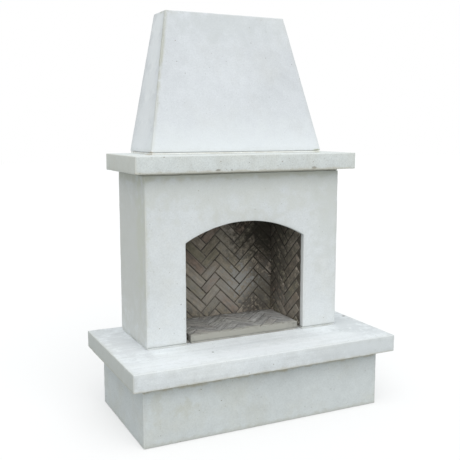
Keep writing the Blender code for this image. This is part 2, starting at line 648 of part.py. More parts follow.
def make_smoke_path():
    """The angle over the opening, the gasket, the smoke chamber on both, and the flue on the chamber."""
    lintel_y = BODY_INNER_Y + SEAT
    outline = bent_outline((lintel_y, PANEL_TOP_Z + SEAT), (LINTEL_LEG, 0.0), (0.0, LINTEL_LEG), LINTEL_THICKNESS)
    lintel = prism("lintel_angle", [outline], ROOM_FRONT_WIDTH + 2 * LINTEL_BEARING, "galvanised_steel")
    lintel.rotation_euler = (math.pi / 2, 0.0, math.pi / 2)

    outer = ROOM_FRONT_WIDTH / 2 + CHAMBER_LAP
    front = lintel_y + LINTEL_LEG + GASKET_INSET
    back = ROOM_BACK_Y + CHAMBER_LAP
    inner_back = ROOM_BACK_Y + GASKET_INSET
    inner_front_x = room_half_width(front) + GASKET_INSET
    inner_back_x = room_half_width(inner_back) + GASKET_INSET
    outline = [(-outer, front), (-inner_front_x, front), (-inner_back_x, inner_back), (inner_back_x, inner_back),
               (inner_front_x, front), (outer, front), (outer, back), (-outer, back)]
    prism("chamber_gasket", [outline], LINTEL_THICKNESS, "fibre_gasket",
          (0.0, 0.0, PANEL_TOP_Z + SEAT + LINTEL_THICKNESS / 2))

    foot = (-outer, lintel_y + LINTEL_THICKNESS + SEAT, outer, back)
    mouth = (-ROOM_BACK_WIDTH / 2 + CHAMBER_LIP, lintel_y + LINTEL_LEG + CHAMBER_LIP,
             ROOM_BACK_WIDTH / 2 - CHAMBER_LIP, ROOM_BACK_Y - CHAMBER_LIP)
    neck = (-FLUE_WIDTH / 2 + FLUE_SHEET, FLUE_FRONT_Y + FLUE_SHEET, FLUE_WIDTH / 2 - FLUE_SHEET,
            FLUE_BACK_Y - FLUE_SHEET)
    collar = (neck[0] - CHAMBER_WALL, neck[1] - CHAMBER_WALL, neck[2] + CHAMBER_WALL, neck[3] + CHAMBER_WALL)
    outer_low, outer_high = (CHAMBER_Z + (CHAMBER_TOP_Z - CHAMBER_Z) * share for share in CHAMBER_OUTER_SHARES)
    inner_low, inner_high = (CHAMBER_Z + (CHAMBER_TOP_Z - CHAMBER_Z) * share for share in CHAMBER_INNER_SHARES)
    chamber = loft("smoke_chamber", [level_ring(foot, CHAMBER_Z), level_ring(foot, outer_low),
                                     level_ring(collar, outer_high), level_ring(collar, CHAMBER_TOP_Z)], "refractory")
    combine(chamber, loft("smoke_chamber_inside",
                          [level_ring(mouth, CHAMBER_Z - OVERRUN), level_ring(mouth, inner_low),
                           level_ring(neck, inner_high), level_ring(neck, CHAMBER_TOP_Z + OVERRUN)]))

    outer_line = rounded_rectangle(FLUE_WIDTH, FLUE_DEPTH, FLUE_CORNER_RADIUS, FLUE_CORNER_STEPS)
    inner_line = rounded_rectangle(FLUE_WIDTH - 2 * FLUE_SHEET, FLUE_DEPTH - 2 * FLUE_SHEET,
                                   FLUE_CORNER_RADIUS - FLUE_SHEET, FLUE_CORNER_STEPS)
    flange_line = rectangle(-FLUE_WIDTH / 2 - FLUE_FLANGE, -FLUE_DEPTH / 2 - FLUE_FLANGE,
                            FLUE_WIDTH / 2 + FLUE_FLANGE, FLUE_DEPTH / 2 + FLUE_FLANGE)
    flue = prism("flue_liner", [outer_line, inner_line], FLUE_TOP_Z - FLUE_Z, "stainless_steel",
                 (0.0, FLUE_MIDDLE_Y, (FLUE_Z + FLUE_TOP_Z) / 2))
    hole_line = rounded_rectangle(FLUE_WIDTH - FLUE_SHEET, FLUE_DEPTH - FLUE_SHEET,
                                  FLUE_CORNER_RADIUS - FLUE_SHEET / 2, FLUE_CORNER_STEPS)
    flange = prism("flue_flange", [flange_line, hole_line], FLUE_SHEET, None,
                   (0.0, FLUE_MIDDLE_Y, FLUE_Z + FLUE_SHEET / 2))
    combine(flue, flange, "UNION")


def make_mantel():
    """The mortar on the body and the mantel slab, with its hole for the flue."""
    bed("mantel_mortar_bed", (-BODY_WIDTH / 2, BODY_FRONT_Y, BODY_TOP_Z), (BODY_WIDTH / 2, BACK_Y, MANTEL_Z),
        BODY_WALL, REAR_PANEL)
    half = BODY_WIDTH / 2 + MANTEL_OVERHANG
    mantel = box("mantel_slab", (-half, BODY_FRONT_Y - MANTEL_OVERHANG, MANTEL_Z), (half, BACK_Y, MANTEL_TOP_Z),
                 "cast_concrete")
    hole_x = FLUE_WIDTH / 2 + MANTEL_FLUE_CLEARANCE
    hole = box("mantel_flue_hole", (-hole_x, FLUE_FRONT_Y - MANTEL_FLUE_CLEARANCE, MANTEL_Z - OVERRUN),
               (hole_x, FLUE_BACK_Y + MANTEL_FLUE_CLEARANCE, MANTEL_TOP_Z + OVERRUN))
    combine(mantel, hole)
    ease(mantel)


def chimney_outside(height):
    """Low and high corners of the chimney's section at a height."""
    rise = (height - CHIMNEY_Z) / CHIMNEY_HEIGHT
    half = (CHIMNEY_FOOT_WIDTH + (CHIMNEY_TOP_WIDTH - CHIMNEY_FOOT_WIDTH) * rise) / 2
    depth = CHIMNEY_FOOT_DEPTH + (CHIMNEY_TOP_DEPTH - CHIMNEY_FOOT_DEPTH) * rise
    return -half, BACK_Y - depth, half, BACK_Y


def chimney_inside(height):
    """Low and high corners of the chimney's hollow at a height."""
    low_x, low_y, high_x, high_y = chimney_outside(height)
    return low_x + CHIMNEY_WALL, low_y + CHIMNEY_WALL, high_x - CHIMNEY_WALL, high_y - CHIMNEY_WALL


def make_chimney():
    """The mortar on the mantel and the tapered chimney shell."""
    low_x, low_y, high_x, high_y = chimney_outside(CHIMNEY_Z)
    bed("chimney_mortar_bed", (low_x, low_y, MANTEL_TOP_Z), (high_x, high_y, CHIMNEY_Z), CHIMNEY_WALL, CHIMNEY_WALL)
    shell = loft("chimney_shell", [level_ring(chimney_outside(z), z) for z in (CHIMNEY_Z, CHIMNEY_TOP_Z)],
                 "cast_concrete")
    combine(shell, loft("chimney_hollow", [level_ring(chimney_inside(z), z)
                                           for z in (CHIMNEY_Z - OVERRUN, CHIMNEY_TOP_Z + OVERRUN)]))
    ease(shell)
    return shell


def make_mouth(shell):
    """What closes the chimney mouth round the flue: angles on the shell, a plate on them and the spark arrestor."""
    wall_x = chimney_inside(MOUTH_PLATE_Z)[2]
    slope = Vector((CHIMNEY_FOOT_WIDTH - CHIMNEY_TOP_WIDTH, -2 * CHIMNEY_HEIGHT)).normalized()
    across = Vector((-slope.y, slope.x))
    corner = Vector((wall_x - SEAT / across.x, MOUTH_PLATE_Z - SEAT))
    outline = bent_outline(corner, (-MOUTH_ANGLE_LEG, 0.0), slope * MOUTH_ANGLE_LEG, ANGLE_THICKNESS)
    seat = corner + slope * MOUTH_ANGLE_LEG * LEG_MIDDLE_SHARE - across * ANGLE_THICKNESS
    places = []
    for side_name, side in SIDES:
        angle = prism(f"mouth_angle_{side_name}", [[(side * x, y) for x, y in outline]], MOUTH_ANGLE_LENGTH,
                      "stainless_steel", (0.0, FLUE_MIDDLE_Y, 0.0))
        angle.rotation_euler = (math.pi / 2, 0.0, 0.0)
        places.append((f"mouth_screw_{side_name}", (side * seat.x, FLUE_MIDDLE_Y, seat.y),
                       (-side * across.x, 0.0, -across.y), (angle, shell)))
    fix(places, ANGLE_THICKNESS + SCREW_GRIP)

    low_x, low_y, high_x, high_y = chimney_inside(MOUTH_PLATE_Z + MOUTH_PLATE)
    plate_line = rectangle(low_x + MOUTH_PLATE_GAP, low_y + MOUTH_PLATE_GAP - FLUE_MIDDLE_Y,
                           high_x - MOUTH_PLATE_GAP, high_y - MOUTH_PLATE_GAP - FLUE_MIDDLE_Y)
    hole_line = rounded_rectangle(FLUE_WIDTH + 2 * SEAT, FLUE_DEPTH + 2 * SEAT, FLUE_CORNER_RADIUS + SEAT,
                                  FLUE_CORNER_STEPS)
    prism("flue_head_plate", [plate_line, hole_line], MOUTH_PLATE, "stainless_steel",
          (0.0, FLUE_MIDDLE_Y, MOUTH_PLATE_Z + MOUTH_PLATE / 2))

    inner_x, inner_y = FLUE_WIDTH / 2 + ARRESTOR_GAP, FLUE_DEPTH / 2 + ARRESTOR_GAP
    outer_x, outer_y = inner_x + ARRESTOR_BAR, inner_y + ARRESTOR_BAR
    prism("spark_arrestor_frame", [rectangle(-outer_x, -outer_y, outer_x, outer_y),
                                   rectangle(-inner_x, -inner_y, inner_x, inner_y)],
          ARRESTOR_HEIGHT, "stainless_steel", (0.0, FLUE_MIDDLE_Y, ARRESTOR_Z + ARRESTOR_HEIGHT / 2))
    lines = [rectangle(-outer_x, -outer_y, outer_x, outer_y)]
    clear_x, clear_y = outer_x - ARRESTOR_MESH_LIP, outer_y - ARRESTOR_MESH_LIP
    columns, rows = (max(1, round(2 * clear / ARRESTOR_PITCH)) for clear in (clear_x, clear_y))
    pitch_x, pitch_y = 2 * clear_x / columns, 2 * clear_y / rows
    for column in range(columns):
        for row in range(rows):
            x, y = -clear_x + column * pitch_x, -clear_y + row * pitch_y
            lines.append(rectangle(x + ARRESTOR_WIRE / 2, y + ARRESTOR_WIRE / 2, x + pitch_x - ARRESTOR_WIRE / 2,
                                   y + pitch_y - ARRESTOR_WIRE / 2))
    prism("spark_arrestor_mesh", lines, ARRESTOR_MESH, "stainless_steel",
          (0.0, FLUE_MIDDLE_Y, ARRESTOR_Z + ARRESTOR_HEIGHT + SEAT + ARRESTOR_MESH / 2))


def main():
    """Build the fireplace from the ground up."""
    clear_scene()
    make_hearth()
    body = make_body()
    make_firebox(body)
    make_smoke_path()
    make_mantel()
    shell = make_chimney()
    make_mouth(shell)


main()
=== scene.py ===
"""A cast concrete outdoor fireplace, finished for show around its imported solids.

Metres, +Z up, the opening facing -Y. The castings are built again with eased, worn arrises and a hand-trowelled
unevenness, the firebox is laid brick by brick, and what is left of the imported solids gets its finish.
"""

import logging
import math
import random
from collections.abc import Callable, Iterable, Iterator, Mapping, Sequence
from dataclasses import dataclass
from enum import Enum
from functools import reduce

import bmesh
import bpy
import numpy as np
from mathutils import Matrix, Vector, noise


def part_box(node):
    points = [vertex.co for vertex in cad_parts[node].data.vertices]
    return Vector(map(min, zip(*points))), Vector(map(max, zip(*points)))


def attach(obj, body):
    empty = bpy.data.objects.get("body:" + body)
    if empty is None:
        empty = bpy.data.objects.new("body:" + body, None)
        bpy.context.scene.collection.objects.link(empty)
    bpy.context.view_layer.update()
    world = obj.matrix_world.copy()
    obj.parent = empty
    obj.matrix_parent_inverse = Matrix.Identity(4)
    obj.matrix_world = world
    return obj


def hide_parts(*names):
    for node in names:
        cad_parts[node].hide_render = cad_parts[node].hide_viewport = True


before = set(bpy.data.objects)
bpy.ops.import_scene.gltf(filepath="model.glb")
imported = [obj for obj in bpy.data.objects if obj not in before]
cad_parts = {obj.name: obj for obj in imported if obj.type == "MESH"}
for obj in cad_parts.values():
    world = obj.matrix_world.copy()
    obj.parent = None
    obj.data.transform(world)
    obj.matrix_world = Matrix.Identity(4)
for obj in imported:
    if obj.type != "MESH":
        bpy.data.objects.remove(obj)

LOG = logging.getLogger("fireplace")
ROOT = "root"
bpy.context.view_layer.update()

Point = tuple[float, float, float]
Colour = tuple[float, float, float]
Outline = list[tuple[float, float]]
Terms = Mapping[str | int, object]
Pieces = Iterator[bpy.types.Object]

# How far a cutter runs past what it cuts, and the distance at which points weld, in metres
OVERRUN = 0.010
WELD = 0.00001

# What the meshes carry for their finishes, and the distance at which an arris no longer matters
ARRIS, TONE, WARMTH, GRAIN = "arris_distance", "brick_tone", "brick_warmth", "brick_grain"
FAR_FROM_ARRIS = 0.08
ROOT_TWO = math.sqrt(2)


class Slot(Enum):
    """The record's material slots."""

    CONCRETE = "cast_concrete"
    BRICK = "refractory_brick"
    REFRACTORY = "refractory_cast"
    STAINLESS = "stainless_steel"
    SCREW = "screw_steel"


class Side(Enum):
    """The two sides as one faces the opening, with their signs along X."""

    LEFT = -1
    RIGHT = 1

    @property
    def word(self) -> str:
        """The side's name in the names of nodes."""
        return self.name.lower()


def working(operation: str, swapped: bool = False) -> "Callable[[Value, Value | float], Value]":
    """Make a method of Value out of a Math operation.

    Args:
        operation: The operation.
        swapped: Whether its two terms change places.

    Returns:
        The method.
    """
    def work(first: "Value", second: "Value | float") -> "Value":
        """Add one Math node."""
        terms = (second, first) if swapped else (first, second)
        return first.graph.value("ShaderNodeMath", {"operation": operation}, dict(enumerate(terms)))
    return work


class Value:
    """A number that varies over a surface; an expression on it adds the Math nodes that work it out."""

    def __init__(self, graph: "Graph", socket: bpy.types.NodeSocket) -> None:
        """Wrap a socket of a graph."""
        self.graph, self.socket = graph, socket

    __add__, __radd__ = working("ADD"), working("ADD", swapped=True)
    __sub__, __rsub__ = working("SUBTRACT"), working("SUBTRACT", swapped=True)
    __mul__, __truediv__ = working("MULTIPLY"), working("DIVIDE")
    most, below = working("MAXIMUM"), working("LESS_THAN")


class Graph:
    """The nodes of one material or world."""

    def __init__(self, tree: bpy.types.NodeTree) -> None:
        """Start from an empty tree."""
        self.tree = tree
        tree.nodes.clear()

    def node(self, kind: str, settings: Mapping[str, object] | None = None,
             inputs: Terms | None = None) -> bpy.types.Node:
        """Add a node.

        Args:
            kind: The node's type.
            settings: What is chosen on the node itself, set before its sockets.
            inputs: For a socket's name or number, its value or what is linked to it.

        Returns:
            The node.
        """
        made = self.tree.nodes.new(kind)
        for name, setting in (settings or {}).items():
            setattr(made, name, setting)
        for key, term in (inputs or {}).items():
            target = made.inputs[key]
            source = term.socket if isinstance(term, Value) else term
            if isinstance(source, bpy.types.NodeSocket):
                self.tree.links.new(source, target)
            else:
                target.default_value = (*source, 1.0) if target.type == "RGBA" else source
        return made

    def value(self, kind: str, settings: Mapping[str, object] | None = None, inputs: Terms | None = None,
              output: int | str = 0) -> Value:
        """Add a node and wrap one of its outputs, by its name or number."""
        return Value(self, self.node(kind, settings, inputs).outputs[output])

    def vector(self, operation: str, first: object, second: object) -> bpy.types.NodeSocket:
        """Work on two vectors, each given as it is or as a socket."""
        return self.node("ShaderNodeVectorMath", {"operation": operation}, {0: first, 1: second}).outputs[0]

    def place(self, shift: Point, stretch: Point = (1.0, 1.0, 1.0)) -> bpy.types.NodeSocket:
        """Where a point of the surface lies, in metres, shifted and then stretched along each axis."""
        spot = self.node("ShaderNodeTexCoord").outputs["Object"]
        return self.vector("MULTIPLY", self.vector("ADD", spot, shift), stretch)

    def first(self, vector: bpy.types.NodeSocket) -> Value:
        """The first of a vector's three values."""
        return self.value("ShaderNodeSeparateXYZ", None, {0: vector})

    def noise(self, vector: bpy.types.NodeSocket, scale: float, octaves: float, roughness: float) -> Value:
        """Soft noise about a half, with so many blotches to the metre; a rougher one has stronger fine octaves."""
        return self.value("ShaderNodeTexNoise", {"noise_dimensions": "3D"},
                          {"Vector": vector, "Scale": scale, "Detail": octaves, "Roughness": roughness})

    def spots(self, vector: bpy.types.NodeSocket, scale: float, share: float, radius: float) -> Value:
        """Scattered round spots.

        Args:
            vector: Where they are read.
            scale: Cells to the metre, each of which may hold a spot.
            share: The share of the cells that hold one.
            radius: A spot's radius, as a share of a cell.

        Returns:
            1 in a spot and 0 elsewhere.
        """
        cells = self.node("ShaderNodeTexVoronoi", {"feature": "F1", "voronoi_dimensions": "3D"},
                          {"Vector": vector, "Scale": scale, "Randomness": 0.9})
        chance = self.first(cells.outputs["Color"])
        reach = (1.15 - chance * (0.6 / share)) * radius
        near = 1 - self.step(Value(self, cells.outputs["Distance"]) / reach, 0.6, 1.0)
        return near * chance.below(share)

    def step(self, term: Value, low: float, high: float) -> Value:
        """A smooth rise from 0 at a low value to 1 at a high one."""
        return self.value("ShaderNodeMapRange", {"interpolation_type": "SMOOTHSTEP"},
                          {"Value": term, "From Min": low, "From Max": high})

    def mix(self, factor: Value | float, first: object, second: object,
            blend: str = "MIX") -> bpy.types.NodeSocket:
        """Mix a second colour, or a value, into a first one by a factor."""
        return self.node("ShaderNodeMix", {"data_type": "RGBA", "blend_type": blend},
                         {0: factor, 6: first, 7: second}).outputs[2]

    def attribute(self, name: str) -> Value:
        """A number that the mesh carries."""
        return self.value("ShaderNodeAttribute", {"attribute_name": name}, None, "Fac")

    def bump(self, height: Value, depth: float, strength: float) -> bpy.types.NodeSocket:
        """The normal of a small relief from 0 to 1, whose depth is in metres and of which so much shows."""
        return self.node("ShaderNodeBump", None, {"Height": height, "Distance": depth, "Strength": strength}).outputs[0]

    def surface(self, kind: str, inputs: Terms) -> bpy.types.NodeSocket:
        """Add a shader."""
        return self.node(kind, None, inputs).outputs[0]

    def close(self, **inputs: object) -> None:
        """End a material in a Principled shader with these inputs; an underscore stands for a blank."""
        named = {name.replace("_", " "): term for name, term in inputs.items()}
        self.node("ShaderNodeOutputMaterial", None, {"Surface": self.surface("ShaderNodeBsdfPrincipled", named)})

    def by_ray(self, lighting: bpy.types.NodeSocket, seen: bpy.types.NodeSocket) -> bpy.types.NodeSocket:
        """One shader for what lights the piece, and one for what is seen straight, mirrored or through glass.

        Args:
            lighting: The first shader.
            seen: The second.

        Returns:
            The shader that chooses between them.
        """
        path = self.node("ShaderNodeLightPath")
        rays = [Value(self, path.outputs[f"Is {ray} Ray"]) for ray in ("Camera", "Glossy", "Transmission")]
        return self.surface("ShaderNodeMixShader", {0: rays[0].most(rays[1]).most(rays[2]), 1: lighting, 2: seen})


@dataclass(frozen=True)
class Mark:
    """A cloudy mark on a surface."""

    middle: Point
    spread: Point  # how far it reaches from its middle along each axis
    colour: Colour
    strength: float  # how much of it shows in its middle
    break_up: float = 1.2  # how ragged it is
    hug: float = 0.0  # how far from an arris it reaches, or 0 where it lies anywhere
    specks: float = 0.0  # specks to the metre that it breaks into, or 0 where it is whole

    def on(self, graph: Graph, colour: bpy.types.NodeSocket, ragged: Value) -> bpy.types.NodeSocket:
        """Lay the mark over a colour.

        Args:
            graph: The finish's nodes.
            colour: The colour under it.
            ragged: Noise about a half that tears its outline.

        Returns:
            The colour with the mark.
        """
        shift = tuple(-part for part in self.middle)
        stretch = tuple(1 / part for part in self.spread)
        reach = graph.value("ShaderNodeVectorMath", {"operation": "LENGTH"}, {0: graph.place(shift, stretch)}, "Value")
        torn = ragged - 0.5
        mask = (1 - graph.step(reach + torn * self.break_up * 2, 0.25, 1.0)) * self.strength
        if self.hug:
            mask = mask * (1 - graph.step(graph.attribute(ARRIS) + torn * self.hug, 0.0, self.hug))
        if self.specks:
            mask = mask * graph.spots(graph.place(self.middle), self.specks, 0.35, 0.26)
        return graph.mix(mask, colour, self.colour)


@dataclass(frozen=True)
class Finish:
    """What every finish has: a name, a number that shifts its pattern, and single marks."""

    name: str
    seed: float = 0.0
    marks: tuple[Mark, ...] = ()

    @property
    def shift(self) -> Point:
        """Where this finish reads its pattern."""
        return (self.seed * 1.7, self.seed * 2.3, self.seed * 3.1)

    def marked(self, graph: Graph, colour: bpy.types.NodeSocket, ragged: Value) -> bpy.types.NodeSocket:
        """Lay the marks over a colour, with noise that tears their outlines."""
        return reduce(lambda under, mark: mark.on(graph, under, ragged), self.marks, colour)

    def draw(self, graph: Graph) -> None:
        """Fill a material's nodes."""
        raise NotImplementedError

    def material(self) -> bpy.types.Material:
        """The finish as a material, made once.

        Returns:
            The material.
        """
        made = bpy.data.materials.get(self.name)
        if made is None:
            made = bpy.data.materials.new(self.name)
            made.use_nodes = True
            self.draw(Graph(made.node_tree))
        return made


@dataclass(frozen=True)
class CastConcrete(Finish):
    """Pale cast concrete: clouded, finely pitted, a little stained and worn along its arrises."""

    cool: Colour = (0.700, 0.742, 0.757)  # where it is clean
    warm: Colour = (0.640, 0.655, 0.615)  # where it has weathered
    cloud: float = 0.26  # how far the broad clouds change its tone
    mottle: float = 0.20  # how far the small blotches do
    grain: float = 0.34  # how far the sand in it does
    streak: float = 0.0  # how far trowel streaks along X do
    pits: float = 0.10  # share of its cells that hold an air hole
    specks: float = 0.03  # share of its cells that hold a brown speck
    age: float = 0.35  # how much of the weathered colour shows

    def draw(self, graph: Graph) -> None:
        """Clouds, blotches, grain, streaks, air holes, specks, marks and worn arrises.

        Args:
            graph: The material's nodes.
        """
        place = graph.place(self.shift)
        broad = graph.noise(place, 2.4, 5.0, 0.58)
        blotch = graph.noise(place, 17.0, 6.0, 0.62)
        grain = graph.noise(place, 120.0, 4.0, 0.75)
        weathered = graph.step(graph.noise(place, 5.5, 6.0, 0.6), 0.42, 0.72) * self.age
        tone = 1 + (broad - 0.5) * self.cloud + (blotch - 0.5) * self.mottle + (grain - 0.5) * self.grain
        if self.streak:
            drawn = graph.noise(graph.place(self.shift, (1.6, 34.0, 34.0)), 1.0, 4.0, 0.6)
            tone = tone + (drawn - 0.5) * self.streak
        colour = graph.mix(1.0, graph.mix(weathered, self.cool, self.warm), tone, "MULTIPLY")
        holes = graph.spots(place, 46.0, self.pits, 0.17)
        small_holes = graph.spots(place, 110.0, self.pits, 0.24)
        freckles = graph.spots(graph.place(self.shift, (1.0, 1.0, 1.4)), 34.0, self.specks, 0.16)
        colour = graph.mix((holes * 0.55).most(small_holes * 0.35), colour, (0.24, 0.23, 0.20))
        colour = self.marked(graph, graph.mix(freckles * 0.7, colour, (0.23, 0.18, 0.12)), blotch)
        edge = graph.attribute(ARRIS)
        rubbed = (1 - graph.step(edge + (blotch - 0.5) * 0.012, 0.001, 0.006)) * 0.35
        grimed = (1 - graph.step(edge + (blotch - 0.5) * 0.05, 0.004, 0.030)) * 0.12
        colour = graph.mix(rubbed, graph.mix(grimed, colour, (0.50, 0.50, 0.43)), (0.78, 0.80, 0.80))
        relief = blotch * 0.25 + grain * 0.16 - holes * 0.8 - small_holes * 0.4
        graph.close(Base_Color=colour, Roughness=0.80 + blotch * 0.14 + rubbed * 0.1,
                    Specular_IOR_Level=0.30, Normal=graph.bump(relief, 0.0022, 0.55))


@dataclass(frozen=True)
class FiredBrick(Finish):
    """Refractory brick, each with its own tone, dusty and marked by soot and ash."""

    dark: Colour = (0.205, 0.176, 0.134)
    light: Colour = (0.330, 0.288, 0.238)
    red: Colour = (0.262, 0.196, 0.160)
    olive: Colour = (0.235, 0.217, 0.160)
    dust: Colour = (0.43, 0.41, 0.375)
    dusting: float = 0.35  # how much dust lies on it
    brushed: Point = (1.0, 1.0, 1.0)  # the way in which the dust is brushed, as a stretch of its pattern
    combed: float = 1.5  # how far the combed streaks along each brick change its tone

    def draw(self, graph: Graph) -> None:
        """A tone and a warmth of its own for each brick, with grain, worn edges, dust and marks.

        Args:
            graph: The material's nodes.
        """
        place = graph.place(self.shift)
        warmth = graph.attribute(WARMTH)
        blotch = graph.noise(place, 40.0, 6.0, 0.68)
        grain = graph.noise(place, 240.0, 4.0, 0.7)
        colour = graph.mix(graph.attribute(TONE), self.dark, self.light)
        colour = graph.mix(graph.step(warmth, 0.70, 0.95) * 0.70, colour, self.red)
        colour = graph.mix((1 - graph.step(warmth, 0.05, 0.30)) * 0.60, colour, self.olive)
        lengthwise = graph.node("ShaderNodeAttribute", {"attribute_name": GRAIN}).outputs["Vector"]
        combing = graph.noise(graph.vector("MULTIPLY", lengthwise, (8.0, 75.0, 40.0)), 1.0, 5.0, 0.65)
        shade = 1 + (blotch - 0.5) * 1.4 + (grain - 0.5) * 0.6 + (combing - 0.5) * self.combed
        drift = graph.noise(graph.place(self.shift, self.brushed), 7.0, 6.0, 0.65)
        dusty = graph.step(drift + (grain - 0.5) * 0.25, 0.48, 0.72) * self.dusting
        colour = graph.mix(dusty, graph.mix(1.0, colour, shade, "MULTIPLY"), self.dust)
        worn = (1 - graph.step(graph.attribute(ARRIS) + (blotch - 0.5) * 0.006, 0.0005, 0.004)) * 0.30
        colour = self.marked(graph, graph.mix(worn, colour, self.dust), blotch)
        holes = graph.spots(place, 120.0, 0.16, 0.22)
        relief = blotch * 0.5 + grain * 0.3 + combing * 0.5 - holes * 0.5
        graph.close(Base_Color=graph.mix(holes * 0.5, colour, (0.05, 0.045, 0.04)),
                    Roughness=0.86 + blotch * 0.12, Specular_IOR_Level=0.25, Normal=graph.bump(relief, 0.0030, 0.8))


@dataclass(frozen=True)
class Rough(Finish):
    """A plain rough material with grains in it: mortar, cast refractory, board or felt."""

    colour: Colour = (0.45, 0.45, 0.42)
    other: Colour = (0.34, 0.33, 0.30)  # its blotches
    grains: float = 380.0  # grains to the metre
    relief: float = 0.002  # depth of its relief
    stretch: Point = (1.0, 1.0, 1.0)  # of its pattern, so that fibres lie along an axis

    def draw(self, graph: Graph) -> None:
        """Blotches and grains in colour, roughness and relief.

        Args:
            graph: The material's nodes.
        """
        place = graph.place(self.shift, self.stretch)
        blotch = graph.noise(place, 11.0, 6.0, 0.65)
        grain = graph.noise(place, self.grains, 3.0, 0.7)
        colour = graph.mix(graph.step(blotch, 0.35, 0.68), self.colour, self.other)
        colour = graph.mix(1.0, colour, 1 + (grain - 0.5) * 0.7, "MULTIPLY")
        graph.close(Base_Color=self.marked(graph, colour, blotch), Roughness=0.84 + grain * 0.14,
                    Specular_IOR_Level=0.2, Normal=graph.bump(blotch * 0.5 + grain * 0.5, self.relief, 0.7))


@dataclass(frozen=True)
class Sheet(Finish):
    """Sheet metal, spangled where it is galvanised or drawn where it is stainless."""

    colour: Colour = (0.60, 0.61, 0.62)
    dulled: Colour = (0.40, 0.41, 0.42)
    gloss: float = 0.34  # its roughness where it is clean
    spangle: float = 0.0  # zinc flowers to the metre, or 0 for none
    drawn: Point = (1.0, 1.0, 1.0)  # stretch of the rolling marks
    tint: Colour = (0.36, 0.27, 0.16)  # what heat or weather has brought
    tinting: float = 0.0  # how much of that shows

    def draw(self, graph: Graph) -> None:
        """Spangle or rolling marks, dulled patches and tint, in colour and roughness.

        Args:
            graph: The material's nodes.
        """
        place = graph.place(self.shift)
        blotch = graph.noise(place, 13.0, 6.0, 0.6)
        fleck = rolled = graph.noise(graph.place(self.shift, self.drawn), 90.0, 3.0, 0.6)
        if self.spangle:
            cells = graph.node("ShaderNodeTexVoronoi", {"feature": "F1"}, {"Vector": place, "Scale": self.spangle})
            fleck = graph.first(cells.outputs["Color"])
        colour = graph.mix(graph.step(blotch, 0.40, 0.70) * 0.6, self.colour, self.dulled)
        aged = graph.step(graph.noise(place, 21.0, 5.0, 0.6), 0.45, 0.75) * self.tinting
        colour = graph.mix(aged, graph.mix(1.0, colour, 0.82 + fleck * 0.36, "MULTIPLY"), self.tint)
        graph.close(Base_Color=colour, Metallic=1 - aged * 0.5, Roughness=self.gloss + fleck * 0.14 + blotch * 0.18,
                    Normal=graph.bump(rolled, 0.0003, 0.4))


@dataclass(frozen=True)
class PaleFloor(Finish):
    """The studio's floor, which is seen nearly white, takes a shadow and throws little light back."""

    glow: float = 0.45  # how much of what is seen is its own light

    def draw(self, graph: Graph) -> None:
        """One shader for the camera and a duller one for the light.

        Args:
            graph: The material's nodes.
        """
        shown = graph.surface("ShaderNodeBsdfDiffuse", {"Color": (0.90, 0.90, 0.90)})
        light = graph.surface("ShaderNodeEmission", {"Color": (1.0, 1.0, 1.0), "Strength": 1.0})
        pale = graph.surface("ShaderNodeMixShader", {0: self.glow, 1: shown, 2: light})
        dull = graph.surface("ShaderNodeBsdfDiffuse", {"Color": (0.42, 0.43, 0.42)})
        graph.node("ShaderNodeOutputMaterial", None, {"Surface": graph.by_ray(dull, pale)})


@dataclass(frozen=True)
class Weathering:
    """How far a surface has left its plane."""

    wave: float = 0.0009  # depth of the broad unevenness
    wave_length: float = 0.30
    wear: float = 0.0030  # depth to which an arris is rubbed
    reach: float = 0.016  # how far from the arris that goes
    chip: float = 0.0035  # depth of the chips along it
    chip_length: float = 0.045
    chips: float = 0.42  # the noise above which one has broken out, from -1 to 1
    seed: float = 0.0

    def depth(self, spot: Vector, distance: float) -> float:
        """How deep the surface lies under its plane at a spot.

        Args:
            spot: The spot, in metres.
            distance: Its distance from the nearest arris.

        Returns:
            The depth, in metres.
        """
        moved = spot + Vector((self.seed, self.seed * 2, self.seed * 3))
        depth = self.wave * (0.5 + 0.5 * noise.noise(moved / self.wave_length))
        near = 1 - distance / self.reach
        if near > 0:
            depth += near * self.wear * (0.5 + 0.5 * noise.noise(moved / (self.reach * 2)))
            broken = noise.noise(moved / self.chip_length) - self.chips
            depth += near * self.chip * max(0.0, broken) / (1 - self.chips)
        return max(0.0, depth)


def places_of(verts: "Iterable[bmesh.types.BMVert | bpy.types.MeshVertex]") -> np.ndarray:
    """Where the points of a mesh lie, one a row."""
    return np.array([tuple(vert.co) for vert in verts])


def add(name: str, data: bpy.types.ID) -> bpy.types.Object:
    """Make an object of some data and link it to the scene.

    Args:
        name: The object's name.
        data: A mesh, lamp or camera.

    Returns:
        The object.
    """
    made = bpy.data.objects.new(name, data)
    bpy.context.scene.collection.objects.link(made)
    return made


